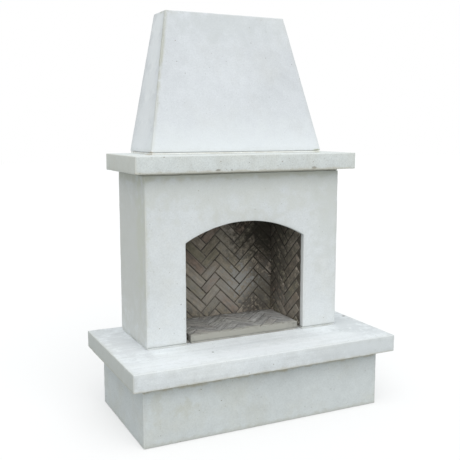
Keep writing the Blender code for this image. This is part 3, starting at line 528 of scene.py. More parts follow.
class Solid:
    """A closed mesh in the making."""

    def __init__(self, mesh: bmesh.types.BMesh) -> None:
        """Start from a mesh with no arrises known yet."""
        self.mesh = mesh
        self.arrises = np.zeros((0, 2, 3))

    @classmethod
    def block(cls, low: Sequence[float], high: Sequence[float]) -> "Solid":
        """A block.

        Args:
            low: Its lowest corner.
            high: Its highest corner.

        Returns:
            The solid.
        """
        shape = bmesh.new()
        middle = (Vector(low) + Vector(high)) / 2
        size = Matrix.Diagonal((*(Vector(high) - Vector(low)), 1.0))
        bmesh.ops.create_cube(shape, size=1.0, matrix=Matrix.Translation(middle) @ size)
        return cls(shape)

    @classmethod
    def loft(cls, rings: Sequence[Sequence[Sequence[float]]]) -> "Solid":
        """A solid through rings of equally many corners.

        Args:
            rings: The rings, from the first to the last.

        Returns:
            The solid.
        """
        shape = bmesh.new()
        levels = [[shape.verts.new(corner) for corner in ring] for ring in rings]
        for lower, upper in zip(levels, levels[1:]):
            for i in range(len(lower)):
                j = (i + 1) % len(lower)
                shape.faces.new((lower[i], lower[j], upper[j], upper[i]))
        shape.faces.new(list(reversed(levels[0])))
        shape.faces.new(levels[-1])
        bmesh.ops.recalc_face_normals(shape, faces=shape.faces)
        return cls(shape)

    @classmethod
    def turned(cls, profile: Sequence[tuple[float, float]], steps: int) -> "Solid":
        """A solid turned about Z in so many steps, from the radius and level of each ring."""
        turns = [math.tau * i / steps for i in range(steps)]
        return cls.loft([[(radius * math.cos(turn), radius * math.sin(turn), level) for turn in turns]
                         for radius, level in profile])

    @classmethod
    def joined(cls, parts: Iterable["Solid"]) -> "Solid":
        """Several solids in one mesh, one after the other.

        Args:
            parts: The solids, which are used up.

        Returns:
            The solid of them all.
        """
        shape = bmesh.new()
        for part in parts:
            held = bpy.data.meshes.new("part")
            part.mesh.to_mesh(held)
            part.mesh.free()
            shape.from_mesh(held)
            bpy.data.meshes.remove(held)
        return cls(shape)

    def hang(self, name: str) -> bpy.types.Object:
        """Make an object of the mesh as it is.

        Args:
            name: The object's name.

        Returns:
            The object.
        """
        mesh = bpy.data.meshes.new(name)
        self.mesh.to_mesh(mesh)
        return add(name, mesh)

    def cut(self, *tools: "Solid") -> "Solid":
        """Cut other solids out.

        Args:
            tools: The solids that are taken away.

        Returns:
            This solid.
        """
        held = [self.hang("cut"), *(tool.hang("tool") for tool in tools)]
        for tool in held[1:]:
            step = held[0].modifiers.new("cut", "BOOLEAN")
            step.operation, step.solver, step.object = "DIFFERENCE", "EXACT", tool
        bpy.context.view_layer.update()
        cut = bpy.data.meshes.new_from_object(held[0].evaluated_get(bpy.context.evaluated_depsgraph_get()))
        self.mesh.clear()
        self.mesh.from_mesh(cut)
        bmesh.ops.remove_doubles(self.mesh, verts=self.mesh.verts, dist=WELD)
        for old in held:
            bpy.data.objects.remove(old, do_unlink=True)
        return self

    def ease(self, width: float, segments: int = 3, blunt: float = 30.0) -> "Solid":
        """Ease every outward edge and keep where it ran.

        Args:
            width: How far from the edge the easing starts.
            segments: Facets across it.
            blunt: The angle in degrees under which an edge stays.

        Returns:
            This solid.
        """
        edges = [edge for edge in self.mesh.edges
                 if edge.is_manifold and edge.calc_face_angle_signed() > math.radians(blunt)]
        self.arrises = np.array([[tuple(end.co) for end in edge.verts] for edge in edges]).reshape(-1, 2, 3)
        bmesh.ops.bevel(self.mesh, geom=edges, offset=width, segments=segments, profile=0.5, affect="EDGES",
                        offset_type="OFFSET", clamp_overlap=True)
        return self

    def from_arris(self, spots: np.ndarray) -> np.ndarray:
        """How far spots are from the nearest arris.

        Args:
            spots: One spot a row, in metres.

        Returns:
            One distance for each spot, up to that at which it no longer matters.
        """
        nearest = np.full(len(spots), FAR_FROM_ARRIS)
        for start, end in self.arrises:
            line = end - start
            along = np.clip(((spots - start) @ line) / max(float(line @ line), WELD * WELD), 0, 1)
            nearest = np.minimum(nearest, np.linalg.norm(spots - start - along[:, None] * line, axis=1))
        return nearest

    def divide(self, pitch: float, rim: float) -> "Solid":
        """Divide the faces by planes across each axis, so that they can take the weathering.

        Args:
            pitch: How far apart the planes stand.
            rim: How far beside a level arris one more stands.

        Returns:
            This solid.
        """
        spots = places_of(self.mesh.verts)
        for axis, (low, high) in enumerate(zip(spots.min(0), spots.max(0))):
            count = max(1, round((high - low) / pitch))
            levels = [low + (high - low) * i / count for i in range(1, count)]
            flat = self.arrises[np.ptp(self.arrises[:, :, axis], axis=1) < WELD][:, 0, axis]
            for level in np.unique(flat.round(5)):
                levels = [other for other in levels if abs(other - level) > rim * 1.4]
                levels += [level - rim, level + rim]
            across = Vector(float(axis == i) for i in range(3))
            for level in sorted(levels):
                parts = [*self.mesh.verts, *self.mesh.edges, *self.mesh.faces]
                bmesh.ops.bisect_plane(self.mesh, geom=parts, dist=WELD, plane_co=across * level, plane_no=across)
        return self

    def weather(self, weathering: Weathering) -> "Solid":
        """Lower the surface where it is worn, and never raise it.

        Args:
            weathering: How far it has left its plane.

        Returns:
            This solid.
        """
        self.mesh.normal_update()
        distances = self.from_arris(places_of(self.mesh.verts))
        moves = [vert.normal * -weathering.depth(vert.co, float(distance))
                 for vert, distance in zip(self.mesh.verts, distances)]
        for vert, move in zip(self.mesh.verts, moves):
            vert.co += move
        return self

    def piece(self, name: str, facet: float = 14.0) -> bpy.types.Object:
        """The finished piece, which carries each point's distance from the nearest arris.

        Args:
            name: The piece's name.
            facet: The angle in degrees over which an edge stays sharp.

        Returns:
            The object.
        """
        made = self.hang(name)
        held = made.data.attributes.new(ARRIS, "FLOAT", "POINT")
        held.data.foreach_set("value", self.from_arris(places_of(made.data.vertices)).astype(np.float32))
        self.mesh.free()
        made.data.shade_smooth()
        made.data.set_sharp_from_angle(angle=math.radians(facet))
        return made


def box_of(node: str) -> tuple[Vector, Vector]:
    """The lowest and highest corner of a node."""
    low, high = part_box(node)
    return Vector(low), Vector(high)


class Assembly:
    """What the sub-assemblies share: how a piece is finished and seated."""

    def show(self, piece: bpy.types.Object, finish: Finish, slot: Slot, node: str) -> bpy.types.Object:
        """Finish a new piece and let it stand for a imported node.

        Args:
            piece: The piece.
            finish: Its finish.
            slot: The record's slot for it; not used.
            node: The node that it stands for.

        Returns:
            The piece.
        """
        piece.data.materials.clear()
        piece.data.materials.append(finish.material())
        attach(piece, ROOT)
        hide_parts(node)
        return piece

    def keep(self, finish: Finish, *nodes: str) -> Pieces:
        """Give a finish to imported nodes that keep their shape.

        Args:
            finish: The finish.
            nodes: The nodes.

        Returns:
            The nodes' objects, one by one.
        """
        for node in nodes:
            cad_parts[node].material_slots[0].material = finish.material()
            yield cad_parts[node]

    def bed(self, name: str, seed: float, colour: Colour, other: Colour) -> Pieces:
        """Finish a mortar bed in its colour and that of its blotches."""
        yield from self.keep(Rough(name + "_mortar", seed, colour=colour, other=other), name + "_mortar_bed")


@dataclass
class Castings(Assembly):
    """What the concrete sub-assemblies share."""

    arris: float = 0.005  # width of the eased edges
    pitch: float = 0.022  # how far apart the mesh's lines stand

    def surround(self, node: str, wall: float, *holes: Solid) -> Solid:
        """A U-shaped casting of a front and two sides, open above, below and behind.

        Args:
            node: The node whose box it fills.
            wall: Thickness of its walls.
            holes: What else is cut out of it.

        Returns:
            The solid.
        """
        low, high = box_of(node)
        hollow = Solid.block((low.x + wall, low.y + wall, low.z - OVERRUN),
                             (high.x - wall, high.y + OVERRUN, high.z + OVERRUN))
        return Solid.block(low, high).cut(hollow, *holes)

    def cast(self, solid: Solid, name: str, node: str, finish: Finish, wear: Weathering,
             coarser: int = 1) -> bpy.types.Object:
        """Ease a solid's edges, weather it and finish it.

        Args:
            solid: The solid with sharp edges.
            name: The piece's name.
            node: The node that it stands for.
            finish: Its finish.
            wear: Its weathering.
            coarser: How many times coarser than usual its mesh is.

        Returns:
            The piece.
        """
        solid.ease(self.arris).divide(self.pitch * coarser, self.arris * 2).weather(wear)
        return self.show(solid.piece(name), finish, Slot.CONCRETE, node)


@dataclass
class Hearth(Castings):
    """The base on its cross walls, and the slab on both."""

    wall: float = 0.045  # of the base
    rib: float = 0.090  # width of the slab's two ribs
    rib_middle: float = 0.375  # how far their middles lie from the hearth's
    skin: float = 0.040  # thickness of the slab between its rim and ribs
    seam: float = 0.004  # how far under the base's top the band of dirt and painted shade at the joint has its middle
    under_slab_dirt_and_shade: Colour = (0.49, 0.43, 0.29)  # dirt under the slab, with painted shade from its overhang
    scuff_and_shade_grey: Colour = (0.56, 0.585, 0.59)  # scuffs on the slab, and painted shade along its back and its left strip beside the body

    def build(self) -> Pieces:
        """Build the base, its walls and panel, and the slab.

        Returns:
            The pieces, one by one.
        """
        yield self.build_base()
        yield from self.build_closings()
        yield self.build_slab()
        yield from self.bed("base", 3.0, (0.74, 0.70, 0.56), (0.60, 0.55, 0.41))

    def build_base(self) -> bpy.types.Object:
        """The surround of the base.

        Returns:
            The piece.
        """
        low, high = box_of("base_surround")
        joint = high.z - self.seam
        marks = (
            # Dirt and painted shade under the slab's overhang, along the base's front and left face.
            Mark((0.0, low.y, joint), (2.4, 0.05, 0.028), self.under_slab_dirt_and_shade, 0.72, 1.0),
            Mark((low.x, 0.0, joint), (0.05, 1.2, 0.024), self.under_slab_dirt_and_shade, 0.45, 0.9),
            Mark((0.0, low.y, low.z), (2.4, 0.08, 0.030), (0.50, 0.50, 0.44), 0.35),
            Mark((-0.49, low.y, 0.190), (0.080, 0.05, 0.055), (0.50, 0.48, 0.35), 0.24, 1.8),
            Mark((-0.49, low.y, 0.190), (0.070, 0.05, 0.050), (0.42, 0.38, 0.25), 0.66, 1.4, specks=90.0),
            Mark((-0.652, low.y, 0.205), (0.050, 0.05, 0.120), (0.54, 0.53, 0.43), 0.24, 1.6),
            Mark((0.10, low.y, 0.13), (0.50, 0.05, 0.13), (0.46, 0.47, 0.43), 0.36, 2.2, specks=75.0),
            Mark((low.x, 0.326, 0.048), (0.02, 0.007, 0.006), (0.25, 0.22, 0.17), 0.9, 0.5),
        )
        finish = CastConcrete("base_concrete", 1.0, marks, cool=(0.627, 0.662, 0.667), warm=(0.578, 0.590, 0.545),
                              cloud=0.24, age=0.5)
        solid = self.surround("base_surround", self.wall)
        return self.cast(solid, "hearth_base_casting", "base_surround", finish, Weathering(seed=1.3))

    def build_closings(self) -> Pieces:
        """The rear panel and the two cross walls.

        Returns:
            The pieces, one by one.
        """
        walls = CastConcrete("cross_wall_concrete", 2.0, cool=(0.52, 0.53, 0.52), warm=(0.46, 0.45, 0.41), pits=0.25)
        panel = CastConcrete("base_panel_concrete", 2.6, cool=(0.62, 0.65, 0.655), age=0.6)
        for node, name, finish in (("base_rear_panel", "base_closing_panel", panel),
                                   ("support_wall_left", "cross_wall_left", walls),
                                   ("support_wall_right", "cross_wall_right", walls)):
            yield self.cast(Solid.block(*box_of(node)), name, node, finish, Weathering(seed=len(name)), coarser=2)

    def build_slab(self) -> bpy.types.Object:
        """The slab, hollowed from below between its rim and ribs.

        Returns:
            The piece.
        """
        low, high = box_of("hearth_slab")
        _, base_high = box_of("base_surround")
        rim_x, rim_y = base_high.x - self.wall, base_high.y - self.wall
        near, far = self.rib_middle - self.rib / 2, self.rib_middle + self.rib / 2
        pockets = [Solid.block((left, -rim_y, low.z - OVERRUN), (right, rim_y, high.z - self.skin))
                   for left, right in ((-rim_x, -far), (-near, near), (far, rim_x))]
        marks = (
            Mark((-0.26, -0.295, high.z), (0.17, 0.055, 0.03), self.scuff_and_shade_grey, 0.26, 1.6),
            Mark((0.30, -0.240, high.z), (0.36, 0.060, 0.03), self.scuff_and_shade_grey, 0.16, 1.8),
            # Painted shade where the body shades the slab's top: at its back left, along its left strip beside the
            # body, and along its back.
            Mark((-0.74, 0.36, high.z), (0.10, 0.09, 0.03), self.scuff_and_shade_grey, 0.55),
            Mark((-0.69, 0.10, high.z), (0.13, 0.45, 0.03), (0.58, 0.60, 0.62), 0.55),
            Mark((0.30, 0.40, high.z), (0.75, 0.055, 0.03), self.scuff_and_shade_grey, 0.50),
            # Painted shade over the slab's whole left face.
            Mark((low.x, 0.0, 0.39), (0.010, 1.4, 0.30), (0.490, 0.510, 0.480), 0.75, 0.6),
            Mark((0.60, low.y, 0.39), (0.50, 0.012, 0.30), (0.610, 0.640, 0.655), 0.60, 0.8),
            Mark((0.70, -0.10, high.z), (0.20, 0.36, 0.04), (0.560, 0.590, 0.605), 0.70, 2.0),
            # Painted light along the slab top's front strip.
            Mark((-0.08, -0.34, high.z), (0.80, 0.12, 0.03), (0.84, 0.87, 0.895), 0.60, 1.6),
            Mark((0.02, -0.34, high.z), (0.60, 0.10, 0.02), (0.44, 0.46, 0.46), 0.42, 2.2, specks=80.0),
            Mark((-0.294, -0.268, high.z), (0.010, 0.012, 0.01), (0.22, 0.22, 0.20), 0.9, 0.4),
            Mark((0.771, 0.045, high.z), (0.022, 0.016, 0.02), (0.12, 0.12, 0.11), 0.9, 0.6),
            Mark((0.0, low.y, low.z), (2.4, 0.05, 0.016), (0.56, 0.53, 0.42), 0.45, 0.9),
            Mark((low.x, 0.0, low.z), (0.05, 1.4, 0.018), (0.52, 0.50, 0.41), 0.40, 0.9),
        )
        finish = CastConcrete("slab_concrete", 3.0, marks, cool=(0.706, 0.738, 0.757), warm=(0.642, 0.658, 0.642),
                              cloud=0.22, mottle=0.30, streak=0.34, age=0.35)
        solid = Solid.block(low, high).cut(*pockets)
        return self.cast(solid, "hearth_slab_casting", "hearth_slab", finish, Weathering(seed=2.9, chips=0.38))


@dataclass
class Body(Castings):
    """The body with its low-arched opening, and the panel that closes it behind."""

    wall: float = 0.038
    opening: float = 0.750  # width of the opening
    spring: float = 0.563  # height at which its arch springs
    rise: float = 0.103  # rise of the arch
    steps: int = 48  # facets of the arch

    def doorway(self, low: Vector) -> Solid:
        """The opening as a cutter.

        Args:
            low: The body's lowest corner.

        Returns:
            The cutter.
        """
        half = self.opening / 2
        radius = (half * half + self.rise * self.rise) / (2 * self.rise)
        centre = self.spring + self.rise - radius
        sweep = math.asin(half / radius)
        outline = [(-half, -OVERRUN), (half, -OVERRUN)]
        for i in range(self.steps + 1):
            angle = sweep * (1 - 2 * i / self.steps)
            outline.append((radius * math.sin(angle), centre + radius * math.cos(angle)))
        return Solid.loft([[(x, y, low.z + z) for x, z in outline]
                           for y in (low.y - OVERRUN, low.y + self.wall + OVERRUN)])

    def build(self) -> Pieces:
        """Build the body and its panel.

        Returns:
            The pieces, one by one.
        """
        low, high = box_of("body_surround")
        crown = low.z + self.spring + self.rise
        marks = (
            Mark((0.0, low.y, high.z), (2.0, 0.05, 0.040), (0.53, 0.50, 0.37), 0.55),
            Mark((0.0, low.y, high.z), (2.4, 0.05, 0.30), (0.650, 0.665, 0.620), 0.45),
            # Painted shade over the body's whole left face.
            Mark((low.x, 0.13, 0.95), (0.012, 1.2, 0.9), (0.585, 0.590, 0.548), 0.60, 0.8),
            Mark((0.56, low.y, 1.12), (0.20, 0.05, 0.40), (0.620, 0.645, 0.622), 0.55, 1.0),
            # Painted light on the return of the opening's right jamb.
            Mark((self.opening / 2, low.y + 0.02, 0.75), (0.010, 0.06, 0.40), (0.82, 0.84, 0.84), 0.70, 0.3),
            Mark((low.x, 0.13, high.z), (0.05, 0.8, 0.060), (0.52, 0.52, 0.42), 0.40),
            Mark((low.x, -0.02, 1.05), (0.05, 0.10, 0.45), (0.600, 0.620, 0.540), 0.55),
            # Painted shade in the joint along the body's foot.
            Mark((0.0, low.y, low.z), (2.0, 0.05, 0.012), (0.55, 0.56, 0.53), 0.40, 0.8),
            Mark((0.0, low.y, crown + 0.03), (0.30, 0.05, 0.05), (0.55, 0.56, 0.52), 0.22),
        )
        finish = CastConcrete("body_concrete", 4.0, marks, cool=(0.692, 0.719, 0.731), warm=(0.645, 0.655, 0.624),
                              cloud=0.16, mottle=0.14, pits=0.07, age=0.40)
        solid = self.surround("body_surround", self.wall, self.doorway(low))
        yield self.cast(solid, "body_casting", "body_surround", finish, Weathering(seed=4.1))
        panel = CastConcrete("body_panel_concrete", 5.0, cool=(0.665, 0.695, 0.70), age=0.6)
        yield self.cast(Solid.block(*box_of("body_rear_panel")), "body_closing_panel", "body_rear_panel", panel,
                        Weathering(seed=5.7), coarser=2)
        # The bed's pale mortar is partly its own colour and partly painted light that offsets the shade of its recessed
        # joint.
        yield from self.bed("body", 6.0, (0.70, 0.72, 0.71), (0.56, 0.57, 0.54))


@dataclass(frozen=True)
class Bond:
    """Herringbone laid at 45 degrees, in columns that rise and fall by turns."""

    length: float = 0.188  # of a brick with its joint
    width: float = 0.0545  # of a brick with its joint
    joint: float = 0.007
    margin: float = 0.001  # how far the bricks stay inside the face
    least: float = 0.00012  # the smallest area of a cut brick

    @property
    def row(self) -> float:
        """Height of a row."""
        return self.width * ROOT_TWO

    def blocks(self, face: float, peak: float, first: float) -> list[tuple[float, float, float, float]]:
        """The bricks of one row across a face.

        Args:
            face: Length of the face.
            peak: Place along it of a peak of the pattern.
            first: Length of the bricks in the first column left of the peak.

        Returns:
            For each brick its low corner and its size, along the rising and the falling joints from the peak.
        """
        width, found = self.width, []
        for onward in (False, True):
            along, across, brick, rising = 0.0, 0.0, self.length if onward else first, not onward
            while 0.0 < peak + (along - across) / ROOT_TWO < face:
                if not rising:
                    found.append((along - width, across - (brick if onward else 0.0), width, brick))
                    across += -brick if onward else brick
                elif onward:
                    found.append((along, across, brick, width))
                    along, across = along + brick + width, across + width
                else:
                    along, across = along - width - brick, across - width
                    found.append((along, across, brick, width))
                brick, rising = self.length, not rising
        return found

    def outlines(self, face: float, height: float, peak: tuple[float, float],
                 first: float) -> list[tuple[Outline, bool]]:
        """The bricks of a whole face, cut to it.

        Args:
            face: Length of the face.
            height: Height of the face.
            peak: A peak of the pattern, along the face and above its foot.
            first: Length of the bricks in the first column left of the peak.

        Returns:
            Each brick's outline, along and above, and whether it rises.
        """
        inset, found = self.joint / 2, []
        for along, across, rise, fall in self.blocks(face, peak[0], first):
            low, high = (along + inset, across + inset), (along + rise - inset, across + fall - inset)
            corners = (low, (high[0], low[1]), high, (low[0], high[1]))
            drawn = [(peak[0] + (a - b) / ROOT_TWO, peak[1] + (a + b) / ROOT_TWO) for a, b in corners]
            first_row = math.floor(-max(v for _, v in drawn) / self.row)
            last_row = math.ceil((height - min(v for _, v in drawn)) / self.row)
            for step in range(first_row, last_row + 1):
                cut = self.trim([(u, v + step * self.row) for u, v in drawn], face, height)
                if len(cut) > 2 and self.area(cut) > self.least:
                    found.append((cut, rise > fall))
        return found

    def trim(self, outline: Outline, face: float, height: float) -> Outline:
        """Cut an outline to the face.

        Args:
            outline: The whole brick.
            face: Length of the face.
            height: Height of the face.

        Returns:
            What is left of it.
        """
        for axis, limit, sign in ((0, self.margin, 1), (0, face - self.margin, -1),
                                  (1, self.margin, 1), (1, height - self.margin, -1)):
            kept: Outline = []
            for here, after in zip(outline, outline[1:] + outline[:1]):
                inside, stays = (here[axis] - limit) * sign, (after[axis] - limit) * sign
                if inside >= 0:
                    kept.append(here)
                if inside * stays < 0:
                    share = inside / (inside - stays)
                    kept.append((here[0] + (after[0] - here[0]) * share, here[1] + (after[1] - here[1]) * share))
            outline = kept
        return outline

    @staticmethod
    def area(outline: Outline) -> float:
        """The area inside an outline."""
        return abs(sum(a[0] * b[1] - b[0] * a[1] for a, b in zip(outline, outline[1:] + outline[:1]))) / 2


@dataclass
class LinedPanel(Assembly):
    """One refractory panel: a backing that shows in the joints, and the bricks on it."""

    node: str
    length: float  # of its face
    height: float
    corner: Point  # the face's low corner
    turn: tuple[float, float]  # about X and about Z
    peak_shares: tuple[float, float]  # a peak of the bond, as a share of the length and of a row
    bricks: Finish
    joints: Finish  # of the backing
    seed: int  # draws how the bricks lie and their tones
    first: float = Bond.length  # of the bricks in the first column left of the peak
    thickness: float = 0.040
    relief: float = 0.004  # depth of the joints
    bedded: float = 1.6  # how deep a brick reaches, in depths of the joints
    bond: Bond = Bond()
    sunk: tuple[float, float] = (0.0001, 0.0010)  # how far a brick sits under the face, at least and at most
    round_over: float = 0.0016  # width of a brick's worn edges
    pitches: tuple[float, float] = (0.022, 0.015)  # of the mesh's lines, on the backing and on a brick
    facet: float = 30.0  # degrees over which an edge stays sharp

    @property
    def stand(self) -> Matrix:
        """The panel's place: its face in its own XZ plane, its thickness along +Y."""
        return (Matrix.Translation(self.corner) @ Matrix.Rotation(self.turn[1], 4, "Z")
                @ Matrix.Rotation(self.turn[0], 4, "X"))

    def back(self) -> bpy.types.Object:
        """The backing.

        Returns:
            The piece.
        """
        back = Solid.block((0.0, self.relief, 0.0), (self.length, self.thickness, self.height))
        back.ease(self.relief).divide(self.pitches[0], self.relief * 2)
        back.weather(Weathering(wave=0.0012, wave_length=0.04, wear=0.0016, reach=0.010, chip=0.003, chips=0.2))
        back.mesh.transform(self.stand)
        back.arrises = back.arrises @ np.array(self.stand.to_3x3()).T + np.array(self.stand.translation)
        piece = back.piece(self.node.removesuffix("_panel") + "_backing", self.facet)
        return self.show(piece, self.joints, Slot.REFRACTORY, self.node)

    def lay(self, outline: Outline, draw: random.Random) -> Solid:
        """One brick in the panel's own axes, its face a little under or out of level.

        Args:
            outline: Its outline.
            draw: Draws how it lies.

        Returns:
            The brick.
        """
        rings = [[(u, y, v) for u, v in outline] for y in (draw.uniform(*self.sunk), self.relief * self.bedded)]
        brick = Solid.loft(rings).ease(self.round_over, 2).divide(self.pitches[1], self.round_over * 2)
        wear = Weathering(wave=0.0007, wave_length=0.05, wear=0.0007, reach=0.004, chip=0.0022, chip_length=0.022,
                          chips=0.30, seed=draw.uniform(0, 40))
        return brick.weather(wear)

    def build(self) -> Pieces:
        """Build the backing and lay the bricks.

        Returns:
            The two pieces.
        """
        yield self.back()
        draw = random.Random(self.seed)
        peak = (self.length * self.peak_shares[0], self.bond.row * self.peak_shares[1])
        laid: list[Solid] = []
        numbers: list[np.ndarray] = []
        for outline, rises in self.bond.outlines(self.length, self.height, peak, self.first):
            laid.append(self.lay(outline, draw))
            spots = places_of(laid[-1].mesh.verts)
            rising, falling = (spots[:, 2] + spots[:, 0]) / ROOT_TWO, (spots[:, 2] - spots[:, 0]) / ROOT_TWO
            drawn = [np.full(len(spots), part) for part in (draw.betavariate(2.0, 2.0), draw.random(), draw.random())]
            run = (rising, falling) if rises else (falling, rising)
            numbers.append(np.stack([laid[-1].from_arris(spots), *drawn[:2], *run, drawn[2]]))
        wall = Solid.joined(laid)
        wall.mesh.transform(self.stand)
        bricks = wall.piece(self.node.removesuffix("_panel") + "_bricks", self.facet)
        values = np.concatenate(numbers, axis=1).astype(np.float32)
        for name, row in zip((ARRIS, TONE, WARMTH), values):
            found = bricks.data.attributes.get(name) or bricks.data.attributes.new(name, "FLOAT", "POINT")
            found.data.foreach_set("value", row)
        lengthwise = bricks.data.attributes.new(GRAIN, "FLOAT_VECTOR", "POINT")
        lengthwise.data.foreach_set("vector", values[3:].T.ravel())
        yield self.show(bricks, self.bricks, Slot.BRICK, self.node)


@dataclass
class Firebox(Assembly):
    """The brick-faced floor, back and sides, with the boards and clips behind them."""

    front_width: float = 0.740  # clear width at its front
    back_width: float = 0.700  # clear width at its back
    thickness: float = 0.040  # of a panel
    seat: float = 0.0003  # clearance between pieces
    back_peak: tuple[float, float] = (0.5, 0.54)  # of the bond, along the back in lengths of it, and up in rows
    side_peak: tuple[float, float] = (0.32, 0.26)  # the same, but from a side's middle towards the back
    floor_peak: tuple[float, float] = (0.5, 0.3)
    short_brick: float = 0.1335  # in the column left of the back's peak, with its joint
    soot: Colour = (0.028, 0.0255, 0.019)
    ash: Colour = (0.36, 0.35, 0.325)
    dirt: Colour = (0.385, 0.378, 0.338)  # along the floor's front edge

    def build(self) -> Pieces:
        """Build the four panels and finish what holds them.

        Returns:
            The pieces, one by one.
        """
        low, high = box_of("firebox_back_panel")
        back_y, foot, height = low.y, low.z, high.z - low.z
        joints = Rough("panel_joints", 7.0, (
            Mark((0.0, back_y, foot + 0.05), (0.9, 0.6, 0.10), (0.16, 0.15, 0.135), 0.5),
            Mark((0.38, back_y, 0.90), (0.42, 0.6, 0.50), self.soot, 0.8, 0.9),
        ), colour=(0.205, 0.180, 0.148), other=(0.062, 0.055, 0.046))
        bricks = FiredBrick("back_brick", 8.0, (
            Mark((0.36, back_y, 1.02), (0.38, 0.6, 0.43), self.soot, 0.88, 0.9),
            Mark((0.02, back_y, 1.16), (0.50, 0.5, 0.16), self.soot, 0.85, 0.8),
            Mark((0.30, back_y, 0.62), (0.22, 0.3, 0.22), (0.105, 0.094, 0.078), 0.70, 1.8),
            Mark((-0.02, back_y, foot + 0.18), (0.40, 0.3, 0.20), self.ash, 0.40, 2.2),
            Mark((0.13, back_y, foot + 0.24), (0.10, 0.3, 0.13), (0.40, 0.40, 0.39), 0.60, 2.4),
            Mark((0.22, back_y, foot + 0.05), (0.10, 0.3, 0.13), (0.07, 0.063, 0.053), 0.7, 2.2),
            Mark((-0.30, back_y, foot + 0.02), (0.40, 0.3, 0.08), (0.10, 0.092, 0.08), 0.55, 2.4),
        ))
        yield from LinedPanel("firebox_back_panel", high.x - low.x, height, (low.x, back_y, foot), (0.0, 0.0),
                              self.back_peak, bricks, joints, seed=11, first=self.short_brick).build()
        for side in Side:
            yield from self.build_side(side, back_y, foot, height, joints)
        yield from self.build_floor()
        yield from self.keep(self.board("back", 14.0), "insulation_back")
        yield from self.bed("firebox", 15.0, (0.46, 0.45, 0.42), (0.33, 0.32, 0.29))
        clips = [f"panel_clip_{side.word}_{level}" for side in Side for level in ("lower", "upper")]
        yield from self.keep(Sheet("clip_zinc", 16.0, spangle=160.0, gloss=0.42), *clips)

    def board(self, name: str, seed: float) -> Rough:
        """The finish of an insulation board."""
        return Rough(name + "_board", seed, colour=(0.78, 0.75, 0.66), other=(0.70, 0.66, 0.56),
                     stretch=(1.0, 1.0, 3.0))

    def build_side(self, side: Side, back_y: float, foot: float, height: float, joints: Finish) -> Pieces:
        """One side panel, which splays towards the front, with its board.

        Args:
            side: The side.
            back_y: The plane of the back panel's face.
            foot: Level of the panels' foot.
            height: Height of the panels.
            joints: Finish of the backing.

        Returns:
            The pieces, one by one.
        """
        sign = side.value
        front_y = box_of("body_surround")[0].y + Body.wall + self.seat
        splay = math.atan2((self.front_width - self.back_width) / 2, back_y - front_y)
        length = (back_y - self.seat - front_y - self.thickness * math.sin(splay)) / math.cos(splay)
        start = Vector((sign * self.front_width / 2, front_y))
        if side is Side.RIGHT:
            start += Vector((-sign * math.sin(splay), math.cos(splay))) * length
        wall = sign * self.back_width / 2
        bricks = FiredBrick(f"{side.word}_brick", 9.0 + sign, (
            Mark((wall, back_y, 1.00), (0.3, 0.26, 0.50), self.soot, 0.66, 1.2),
            Mark((wall, front_y + 0.14, 1.16), (0.3, 0.30, 0.20), self.soot, 0.60, 1.2),
            Mark((wall, back_y - 0.06, 0.70), (0.3, 0.16, 0.30), (0.100, 0.090, 0.075), 0.76, 1.6),
            Mark((wall, front_y + 0.12, 0.86), (0.3, 0.22, 0.40), (0.115, 0.106, 0.086), 0.60, 1.7),
            Mark((wall, front_y + 0.12, foot + 0.10), (0.3, 0.2, 0.12), self.ash, 0.22, 2.4),
        ), dusting=0.22)
        peak = (0.5 - self.side_peak[0] * sign, self.side_peak[1])
        yield from LinedPanel(f"firebox_{side.word}_panel", length, height, (start.x, start.y, foot),
                              (0.0, sign * (splay - math.pi / 2)), peak, bricks, joints, seed=20 + sign).build()
        yield from self.keep(self.board(side.word, 12.0 + sign), f"insulation_{side.word}")

    def build_floor(self) -> Pieces:
        """The floor panel.

        Returns:
            The pieces, one by one.
        """
        low, high = box_of("firebox_floor")
        bricks = FiredBrick("floor_brick", 10.0, (
            Mark((0.0, low.y, high.z), (0.9, 0.045, 0.08), self.dirt, 0.80, 0.8),
            Mark((0.15, high.y, high.z), (0.40, 0.06, 0.05), (0.14, 0.13, 0.115), 0.6, 1.4),
        ), dark=(0.245, 0.242, 0.232), light=(0.365, 0.362, 0.352), red=(0.32, 0.30, 0.275), olive=(0.31, 0.305, 0.28),
            dust=(0.43, 0.43, 0.425), dusting=0.62, brushed=(1.0, 0.25, 1.0), combed=2.6)
        edge = Mark((0.0, low.y, high.z - 0.02), (0.9, 0.05, 0.06), self.dirt, 0.9, 0.8)
        joints = Rough("floor_joints", 10.5, (edge,), colour=(0.30, 0.295, 0.28), other=(0.17, 0.165, 0.155))
        yield from LinedPanel("firebox_floor", high.x - low.x, high.y - low.y, (low.x, low.y, high.z),
                              (-math.pi / 2, 0.0), self.floor_peak, bricks, joints, seed=31).build()


@dataclass
class SmokePath(Assembly):
    """What carries the smoke: lintel angle, gasket, chamber and flue."""

    soot: Colour = (0.035, 0.032, 0.028)

    def build(self) -> Pieces:
        """Finish the four pieces.

        Returns:
            The pieces, one by one.
        """
        low, high = box_of("smoke_chamber")
        middle = (low + high) / 2
        sooted = Mark((middle.x, middle.y, low.z), (0.42, 0.20, 0.30), self.soot, 0.9, 0.6)
        for finish, node in (
                (Rough("chamber_refractory", 17.0, (sooted,), colour=(0.40, 0.385, 0.35), other=(0.30, 0.285, 0.25),
                       grains=260.0), "smoke_chamber"),
                (Rough("gasket_felt", 18.0, colour=(0.80, 0.79, 0.74), other=(0.70, 0.68, 0.62), grains=600.0,
                       stretch=(3.0, 1.0, 1.0)), "chamber_gasket"),
                (Sheet("lintel_zinc", 19.0, spangle=140.0, gloss=0.45, tinting=0.5), "lintel_angle"),
                (Sheet("flue_steel", 20.0, gloss=0.30, drawn=(1.0, 1.0, 0.05), tinting=0.35,
                       tint=(0.25, 0.19, 0.13)), "flue_liner")):
            yield from self.keep(finish, node)


